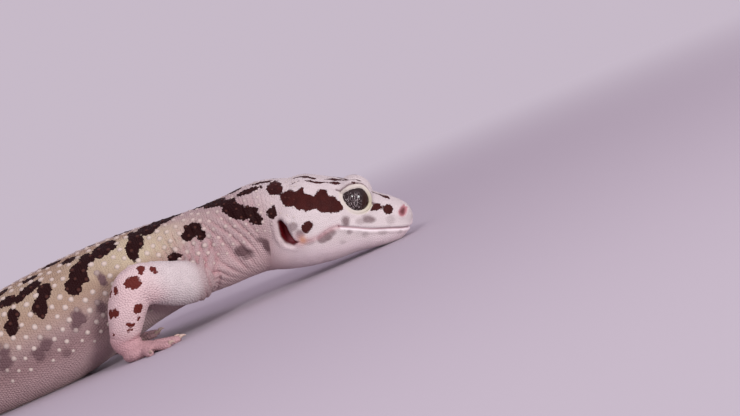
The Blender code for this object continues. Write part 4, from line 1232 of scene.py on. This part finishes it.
COVER = 0.80  # grains nearer than this share of a tubercle's radius are left out
FILL, LEAST_GRAIN, LARGEST_GRAIN = 0.62, 0.12, 0.42  # a grain's radius: share of its gap, and limits
GRAIN_RISE, FACE_LOSS = 0.18, 0.09  # a grain's height: share of its radius, and the loss on the face
LIP_BACK = 15.2  # where the bare lips end
grain_gap = nearest_gap(grain_at)
grain_place = fields_of(grain_at)
grain_face = face_fields(grain_place)
bump_tree = tree_of(tubercles)
bump_hits = [bump_tree.find(spot) for spot in grain_at]
covered = np.array([far < COVER * tubercles[k, 6] for _, k, far in bump_hits])
lips = grain_face["lips"]
bare = (lips > -0.58) & (lips < 0.36) & (grain_place["back"] < LIP_BACK)
bare |= (grain_face["nostril"] < 0.05) | (grain_face["ear"] < -0.1)
for side in (-1, 1):
    far, off, round_it = lid_fields(grain_at, side)
    bare |= (far < 3.95) & (lid_share(off, round_it) < LID_WIDTH + 0.14)
keep = ~covered & ~bare
head_share = step_down(grain_place["behind"][keep], 26, 34)
grain_radius = np.clip(grain_gap[keep] * FILL, LEAST_GRAIN, LARGEST_GRAIN)
grain_height = grain_radius * (GRAIN_RISE - FACE_LOSS * head_share)
coat = lay_scales(
    "grains", grain_at[keep], grain_out[keep], grain_radius, grain_height, 6, GRAIN_RINGS, 51, by_region,
)
bump_at, bump_out, bump_size = tubercles[:, :3], tubercles[:, 3:6], tubercles[:, 6]
coat += lay_scales(
    "tubercles", bump_at, bump_out, bump_size, BUMP_RISE * bump_size, 9, TUBERCLE_RINGS, 52, whole_body,
)
print("coat pieces:", len(coat))

# %% [markdown]
# ## Eyes and claws
# Each eye is a whole ball that sits in the lids, as deep as a real one. On a real model it would be
# cast glass over a painted disc. Its iris is dark with pale flecks, and its pupil is an upright slit
# with notched edges, shut nearly to a line in daylight. The claws are small cones, bent downwards.

# %% Eyes
EYE_ROWS, EYE_SIDES = 96, 144


def eyeball(side):
    """A ball whose pole looks out along the sight, so that its rings are rings of the iris."""
    middle, sight, front, over = eye_axes(side)
    rows = np.linspace(0, math.pi, EYE_ROWS + 1)[1:-1, None, None]
    sides = round_angles(EYE_SIDES)[:, None]
    ring = np.cos(sides) * front - np.sin(sides) * over * side
    solid, faces = loft(middle + EYE_RADIUS * (sight * np.cos(rows) + ring * np.sin(rows)))
    solid[-2:] = middle + EYE_RADIUS * sight, middle - EYE_RADIUS * sight
    way = (solid - middle) / EYE_RADIUS
    return solid, faces[:, ::-1], way @ front, way @ over


eyes = []
for side, label in ((-1, "right"), (1, "left")):
    solid, faces, ahead, over = eyeball(side)
    eye = linked(f"gecko_eye_{label}", mesh_from(f"gecko_eye_{label}", solid, faces))
    eye.data.shade_smooth()
    add_fields(eye.data, {"ahead": ahead, "over": over})
    add_sheet(eye.data, (0.5 + 0.45 * np.column_stack([ahead, over]))[faces.reshape(-1)])
    eyes.append(eye)
print("eyes:", [eye.name for eye in eyes])

# %% Claws
CLAW_LENGTH, CLAW_ROOT = 1.5, 0.5  # the root is the part inside the toe
CLAW_RINGS, CLAW_SIDES = 7, 10
FLOOR_GAP = 0.02
CLAW_SHEET = 300  # millimetres across the sheet


def claw(tip, way, radius):
    """Points and faces of one claw: rings that shrink and bend down from the end of a toe."""
    sideways, upward = unit(np.cross([0, 0, 1.0], way)), np.array([0, 0, 1.0])
    share = np.linspace(0, 1, CLAW_RINGS)[:, None]
    bend = 0.30 * np.sin(2.2 * share) - 0.35 * share**2
    middle = tip + way * (share * CLAW_LENGTH - CLAW_ROOT) + upward * bend
    width = radius * 0.52 * (1 - share) ** 0.8 + 0.02
    angle = round_angles(CLAW_SIDES)[:, None]
    ring = sideways * np.cos(angle) * 0.8 + upward * np.sin(angle)
    solid, faces = loft(middle[:, None] + width[:, None] * ring)
    solid[:, 2] = np.maximum(solid[:, 2], FLOOR_GAP)
    return solid, faces


claws = []
for number, (limb, run, way, radius) in enumerate(toes):
    solid, faces = claw(run[-1, :3] + way * radius * 0.35 + np.array([0, 0, 0.18]), way, radius)
    piece = linked(f"claw_{limb}_{number % 5 + 1}", mesh_from(f"claw_{number}", solid, faces))
    piece.data.shade_smooth()
    add_sheet(piece.data, (solid[:, :2] / CLAW_SHEET + 0.5)[faces.reshape(-1)])
    claws.append(piece)
print("claws:", len(claws))

# %% [markdown]
# ## Colours
# A painter would lay a pale ground, warm it on the back and cool it on the flanks, and add the dark
# spots last. The material does the same, in that order, from the fields laid down above. One small
# class turns sums of sockets into Math nodes, so that the recipe can be read as ordinary sums.


# %% A class for shader sums
class Shade:
    """One socket of a material's nodes. Sums on it add Math nodes, and `add` makes any other node."""

    def __init__(self, tree, socket=None):
        self.tree, self.socket = tree, socket

    def add(self, kind, settings=None, inputs=None, output=0):
        """A new node of any kind, with its settings and the values or links of its sockets."""
        node = self.tree.nodes.new("ShaderNode" + kind)
        for name, value in (settings or {}).items():
            setattr(node, name, value)
        for name, value in (inputs or {}).items():
            if isinstance(value, Shade):
                self.tree.links.new(value.socket, node.inputs[name])
            else:
                node.inputs[name].default_value = value
        return Shade(self.tree, node.outputs[output])

    def maths(self, operation, *values):
        """A Math node on sockets or plain numbers."""
        return self.add("Math", {"operation": operation}, dict(enumerate(values)))

    def __add__(self, other):
        return self.maths("ADD", self, other)

    def __sub__(self, other):
        return self.maths("SUBTRACT", self, other)

    def __rsub__(self, other):
        return self.maths("SUBTRACT", other, self)

    def __mul__(self, other):
        return self.maths("MULTIPLY", self, other)

    __radd__ = __add__
    __rmul__ = __mul__

    def field(self, name):
        """A value that the mesh carries at every point."""
        return self.add("Attribute", {"attribute_name": name}, output="Fac")

    def ramp(self, low, high):
        """0 below `low`, 1 above `high`, and a smooth rise between."""
        inputs = {"Value": self, "From Min": low, "From Max": high}
        if low > high:
            return 1 - self.ramp(high, low)
        return self.add("MapRange", {"interpolation_type": "SMOOTHSTEP"}, inputs)

    def paint(self, colour, mask):
        """This colour, with another laid over it where the mask is 1."""
        inputs = {0: mask, 6: self, 7: colour if isinstance(colour, Shade) else (*colour, 1)}
        return self.add("Mix", {"data_type": "RGBA"}, inputs, output=2)

    def tinted(self, amount):
        """This colour made lighter or darker by a number."""
        return self.add("VectorMath", {"operation": "SCALE"}, {0: self, "Scale": amount})

    def noise(self, size, detail=2.0):
        """Soft cloudy values from 0 to 1, with blobs about `size` millimetres across."""
        where = self.add("TexCoord", output="Object")
        return self.add("TexNoise", {}, {"Vector": where, "Scale": 1000 / size, "Detail": detail})

    def colour(self, r, g, b):
        """One colour, to lay others over."""
        node = self.add("RGB")
        node.socket.default_value = (r, g, b, 1)
        return node


def material(name, **constants):
    """A new material: its Principled BSDF, with plain constants set, and a Shade to start sums from."""
    made = bpy.data.materials.new(name)
    made.use_nodes = True
    shader = made.node_tree.nodes["Principled BSDF"]
    for key, value in constants.items():
        shader.inputs[key.replace("_", " ")].default_value = value
    return made, shader, Shade(made.node_tree)


def feed(shader, name, value):
    """Link a value or colour to one of the shader's sockets."""
    value.tree.links.new(value.socket, shader.inputs[name])


# %% The coat's colours
MAUVE, FLANK, TAN = (0.385, 0.275, 0.275), (0.355, 0.255, 0.255), (0.33, 0.225, 0.165)
YELLOW, PALE, SPINE = (0.50, 0.42, 0.30), (0.565, 0.490, 0.490), (0.44, 0.37, 0.39)
PINK, HAND, ROSY = (0.63, 0.455, 0.455), (0.41, 0.22, 0.235), (0.44, 0.19, 0.21)
PAINTED_SHADE, AMBER, CHIN = (0.15, 0.075, 0.075), (0.46, 0.20, 0.10), (0.80, 0.73, 0.77)
# The smudges' colour on the next line also paints the shade in the groove round each lid.
DARK, RUFOUS, SMUDGE_AND_GROOVE_SHADE = (0.016, 0.002, 0.002), (0.11, 0.018, 0.014), (0.13, 0.075, 0.08)
CREAM, RUST, LID, OLIVE = (0.58, 0.48, 0.43), (0.10, 0.035, 0.025), (0.54, 0.48, 0.43), (0.50, 0.47, 0.27)
PAINTED_LIP_HIGHLIGHT, LIP = (0.82, 0.74, 0.78), (0.34, 0.18, 0.21)
PIT_RED_AND_SHADE, PIT_RED = (0.065, 0.003, 0.005), (0.20, 0.045, 0.055)


def layered(ground, layers):
    """A colour with others laid over it in turn, each with its own mask."""
    for colour, mask in layers:
        ground = ground.paint(colour, mask)
    return ground


# %% The finish of skin and scales
def reptile(name, scales):
    """The finish of the skin or of its scales: the same ground and markings, with painted shade between the
    scales.
    """
    made, shader, start = material(name, Roughness=0.5, IOR=1.38, Specular_IOR_Level=0.16)
    field = start.field
    ground = layered(start.colour(*MAUVE), (
        (FLANK, field("dusk")),
        (TAN, field("tan")),
        (YELLOW, field("yellow") * (0.6 + 0.4 * start.noise(4))),
        # painted shade on the lower flanks and belly
        (PAINTED_SHADE, field("shade") * 0.85),
        (SPINE, field("spine") * 0.65),
        (PALE, field("pale")),
        (CHIN, field("chin") * 0.9),
        (PINK, field("pink") * (0.75 + 0.25 * start.noise(3))),
        (HAND, field("hand") * 0.8),
        (ROSY, field("fold") * 0.32),
    ))
    ground = ground.tinted(0.90 + 0.20 * start.noise(2.2))
    blotch = start.colour(*DARK).paint(RUFOUS, (field("rufous") + 0.3 * start.noise(1.6)).ramp(0.2, 1.1))
    if scales:
        bump, rise = field("tubercle"), field("rise")
        flanks = start.maths("MAXIMUM", field("tan"), field("dusk"))
        ground = ground.paint(CREAM, bump * (0.5 + 0.3 * flanks))
        blotch = blotch.paint(RUST, bump * 0.5 * rise.ramp(0.55, 0.95))
        # painted shade: each scale is darker towards its sunk foot, between the scales
        ground = ground.tinted(0.62 + 0.42 * rise)
    edge = 0.05 if scales else 0.12
    ground = layered(ground, (
        (SMUDGE_AND_GROOVE_SHADE, field("smudge") * (0.70 + 0.25 * start.noise(1.0))),
        (ROSY, field("rosy") * 0.5),
        (AMBER, field("amber") * 0.8),
        # painted shade in the groove round each lid
        (SMUDGE_AND_GROOVE_SHADE, field("groove") * 0.9),
        (blotch, field("dark").ramp(edge, -edge)),
        (LID, field("lid") * 0.9),
        (OLIVE, field("tinge") * 0.55),
        # painted highlight along the lower lip
        (PAINTED_LIP_HIGHLIGHT, field("lip_gloss_and_highlight") * 0.7),
        (LIP, field("mouth") * 0.9),
        # the pits' red, made near black with painted shade
        (PIT_RED_AND_SHADE, field("wet_and_pit_shade")),
        (PIT_RED, field("wet_and_pit_shade") * field("pit_glow")),
    ))
    feed(shader, "Base Color", ground)
    feed(shader, "Roughness", 0.60 - 0.10 * start.noise(1.2) - 0.30 * field("lip_gloss_and_highlight") - 0.30 * field("wet_and_pit_shade"))
    relief = {"Strength": 0.2, "Distance": 0.00005, "Height": start.noise(0.25, 3.0)}
    feed(shader, "Normal", start.add("Bump", {}, relief))
    return made


skin_finish, scale_finish = reptile("gecko skin", scales=False), reptile("gecko scales", scales=True)
skin.data.materials.append(skin_finish)
for piece in coat:
    piece.data.materials.append(scale_finish)


# %% The finish of eyes and claws
IRIS, FLECK, IRIS_FRONT_SHADE = (0.022, 0.012, 0.012), (0.50, 0.42, 0.42), (0.024, 0.007, 0.003)
PUPIL, PUPIL_WIDTH, PUPIL_AT = (0.003, 0.002, 0.002), 0.042, -0.03


def eye_finish():
    """Pale flecks on a dark iris, with painted shade above and in front, round a black slit with wavy edges.
    """
    made, shader, start = material(
        "gecko eye", Roughness=0.5, Specular_IOR_Level=0.0, Coat_Weight=1.0, Coat_Roughness=0.02,
        Coat_IOR=1.36,
    )
    ahead, over = start.field("ahead"), start.field("over")
    wave = start.maths("SINE", over * 17.0) * 0.016 + start.maths("SINE", over * 31.0 + 1.0) * 0.010
    length = start.maths("ABSOLUTE", over).ramp(0.58, 0.36)
    off = start.maths("ABSOLUTE", ahead - PUPIL_AT) - (PUPIL_WIDTH + wave) * length
    where = start.add("CombineXYZ", {}, {0: ahead * 1.5, 1: over, 2: 0.0})
    bent = where.add("VectorMath", {"operation": "MULTIPLY_ADD"}, {
        0: start.add("TexNoise", {}, {"Vector": where, "Scale": 7.0, "Detail": 3.0}, output="Color"),
        1: (0.16, 0.16, 0.0), 2: where,
    })
    seams = start.add("TexVoronoi", {"feature": "DISTANCE_TO_EDGE"}, {"Vector": bent, "Scale": 6.2})
    fine = start.add("TexNoise", {}, {"Vector": where, "Scale": 11.0, "Detail": 4.0})
    flecks = seams.ramp(0.11, 0.03) * fine.ramp(0.49, 0.60)
    rim = off.ramp(0.075, 0.02) * length * fine.ramp(0.36, 0.54) * 0.8
    # painted shade of the lids: the flecks fade out above and in front
    shade = (1 - 0.95 * (ahead + over * 0.35).ramp(0.05, 0.50)) * (1 - 0.85 * over.ramp(0.15, 0.55))
    iris = layered(start.colour(*IRIS), (
        (FLECK, start.maths("MAXIMUM", flecks, rim) * shade),
        # painted shade, near black, over the front of the iris
        (IRIS_FRONT_SHADE, (ahead - over * 0.2).ramp(0.25, 0.65)),
        (PUPIL, off.ramp(0.012, -0.006) * length),
    ))
    feed(shader, "Base Color", iris)
    return made


glass = eye_finish()
for eye in eyes:
    eye.data.materials.append(glass)
horn, shader, start = material("gecko claw", Roughness=0.35, IOR=1.5)
feed(shader, "Base Color", start.colour(0.50, 0.36, 0.30).tinted(0.8 + 0.3 * start.noise(0.8)))
for piece in claws:
    piece.data.materials.append(horn)

# %% [markdown]
# ## What each piece stands for
# The skin takes the place of all the solids of flesh, and the eyes that of their own. Scales and claws
# ride with the same body, because a still model has only one.

# %% Ride and replace
eye_nodes = {"gecko_eye_right": "eye_right", "gecko_eye_left": "eye_left"}
flesh = [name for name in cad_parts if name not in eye_nodes.values()]
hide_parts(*flesh)
for eye in eyes:
    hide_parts(eye_nodes[eye.name])
for piece in [skin, *eyes, *claws, *coat]:
    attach(piece, "root")
print("flesh nodes replaced:", len(flesh))

# %% [markdown]
# ## Floor, light and camera
# The gecko rests on a plain pale sheet that fades into the same soft lilac as the room. Two lamps
# stand in front, one high and one low to the right, and give the eye its two glints. A broad weak one
# hangs overhead.

# %% Floor and light
ROOM, SHEET = (0.57, 0.49, 0.58), (0.50, 0.44, 0.50)
FLOOR_RADIUS, FLOOR_DROP, FLOOR_SIDES = 1.5, 0.00002, 64
FADE_START, FADE_END = 0.10, 0.42  # metres from the middle, where the sheet turns into the room's colour
world = bpy.data.worlds.new("room")
world.use_nodes = True
world.node_tree.nodes["Background"].inputs["Color"].default_value = (*ROOM, 1)
bpy.context.scene.world = world
floor_mesh = bpy.data.meshes.new("floor")
angle = round_angles(FLOOR_SIDES)
rim = np.column_stack([FLOOR_RADIUS * np.cos(angle), FLOOR_RADIUS * np.sin(angle), 0 * angle - FLOOR_DROP])
floor_mesh.from_pydata(rim.tolist(), [], [tuple(range(FLOOR_SIDES))])
floor = linked("floor", floor_mesh)
sheet_finish, shader, start = material("floor", Roughness=0.9)
shader.inputs["Base Color"].default_value = (*SHEET, 1)
from_middle = {0: start.add("TexCoord", output="Object")}
reach = start.add("VectorMath", {"operation": "LENGTH"}, from_middle, output="Value")
glow = start.add("Emission", {}, {"Color": (*ROOM, 1), "Strength": 1.0})
fade = reach.ramp(FADE_START, FADE_END)
blend = start.add("MixShader", {}, {0: fade, 1: Shade(start.tree, shader.outputs[0]), 2: glow})
start.tree.links.new(blend.socket, start.tree.nodes["Material Output"].inputs["Surface"])
floor_mesh.materials.append(sheet_finish)

EYE_POINT = Vector(on_head(EYE[0], -EYE[1], EYE[2])) * MM
for name, way, far, size, power in (
    ("key", (-0.14, -0.80, 0.50), 0.75, 0.18, 1.8),
    ("side", (0.60, -0.78, 0.12), 0.70, 0.22, 3.2),
    ("top", (-0.10, 0.30, 0.95), 0.80, 0.60, 0.25),
):
    lamp = bpy.data.lights.new(name, "AREA")
    lamp.shape, lamp.size, lamp.energy = "DISK", size, power
    lamp_object = linked(name, lamp)
    lamp_object.location = EYE_POINT + Vector(way).normalized() * far
    lamp_object.rotation_euler = (EYE_POINT - lamp_object.location).to_track_quat("-Z", "Y").to_euler()

# %% Camera
AIM = Vector((71.7, 0, 8.25)) * MM
CAMERA_DISTANCE, CAMERA_RISE, CAMERA_ROLL = 0.43, math.radians(3.5), math.radians(23.5)
away = Vector((0, -math.cos(CAMERA_RISE), math.sin(CAMERA_RISE)))
camera = linked("camera", bpy.data.cameras.new("camera"))
camera.data.lens, camera.data.sensor_width = 100, 36
camera.location = AIM + away * CAMERA_DISTANCE
rolled = away.to_track_quat("Z", "Y") @ Matrix.Rotation(-CAMERA_ROLL, 3, "Z").to_quaternion()
camera.rotation_euler = rolled.to_euler()
bpy.context.scene.camera = camera
bpy.context.scene.view_settings.view_transform = "Standard"
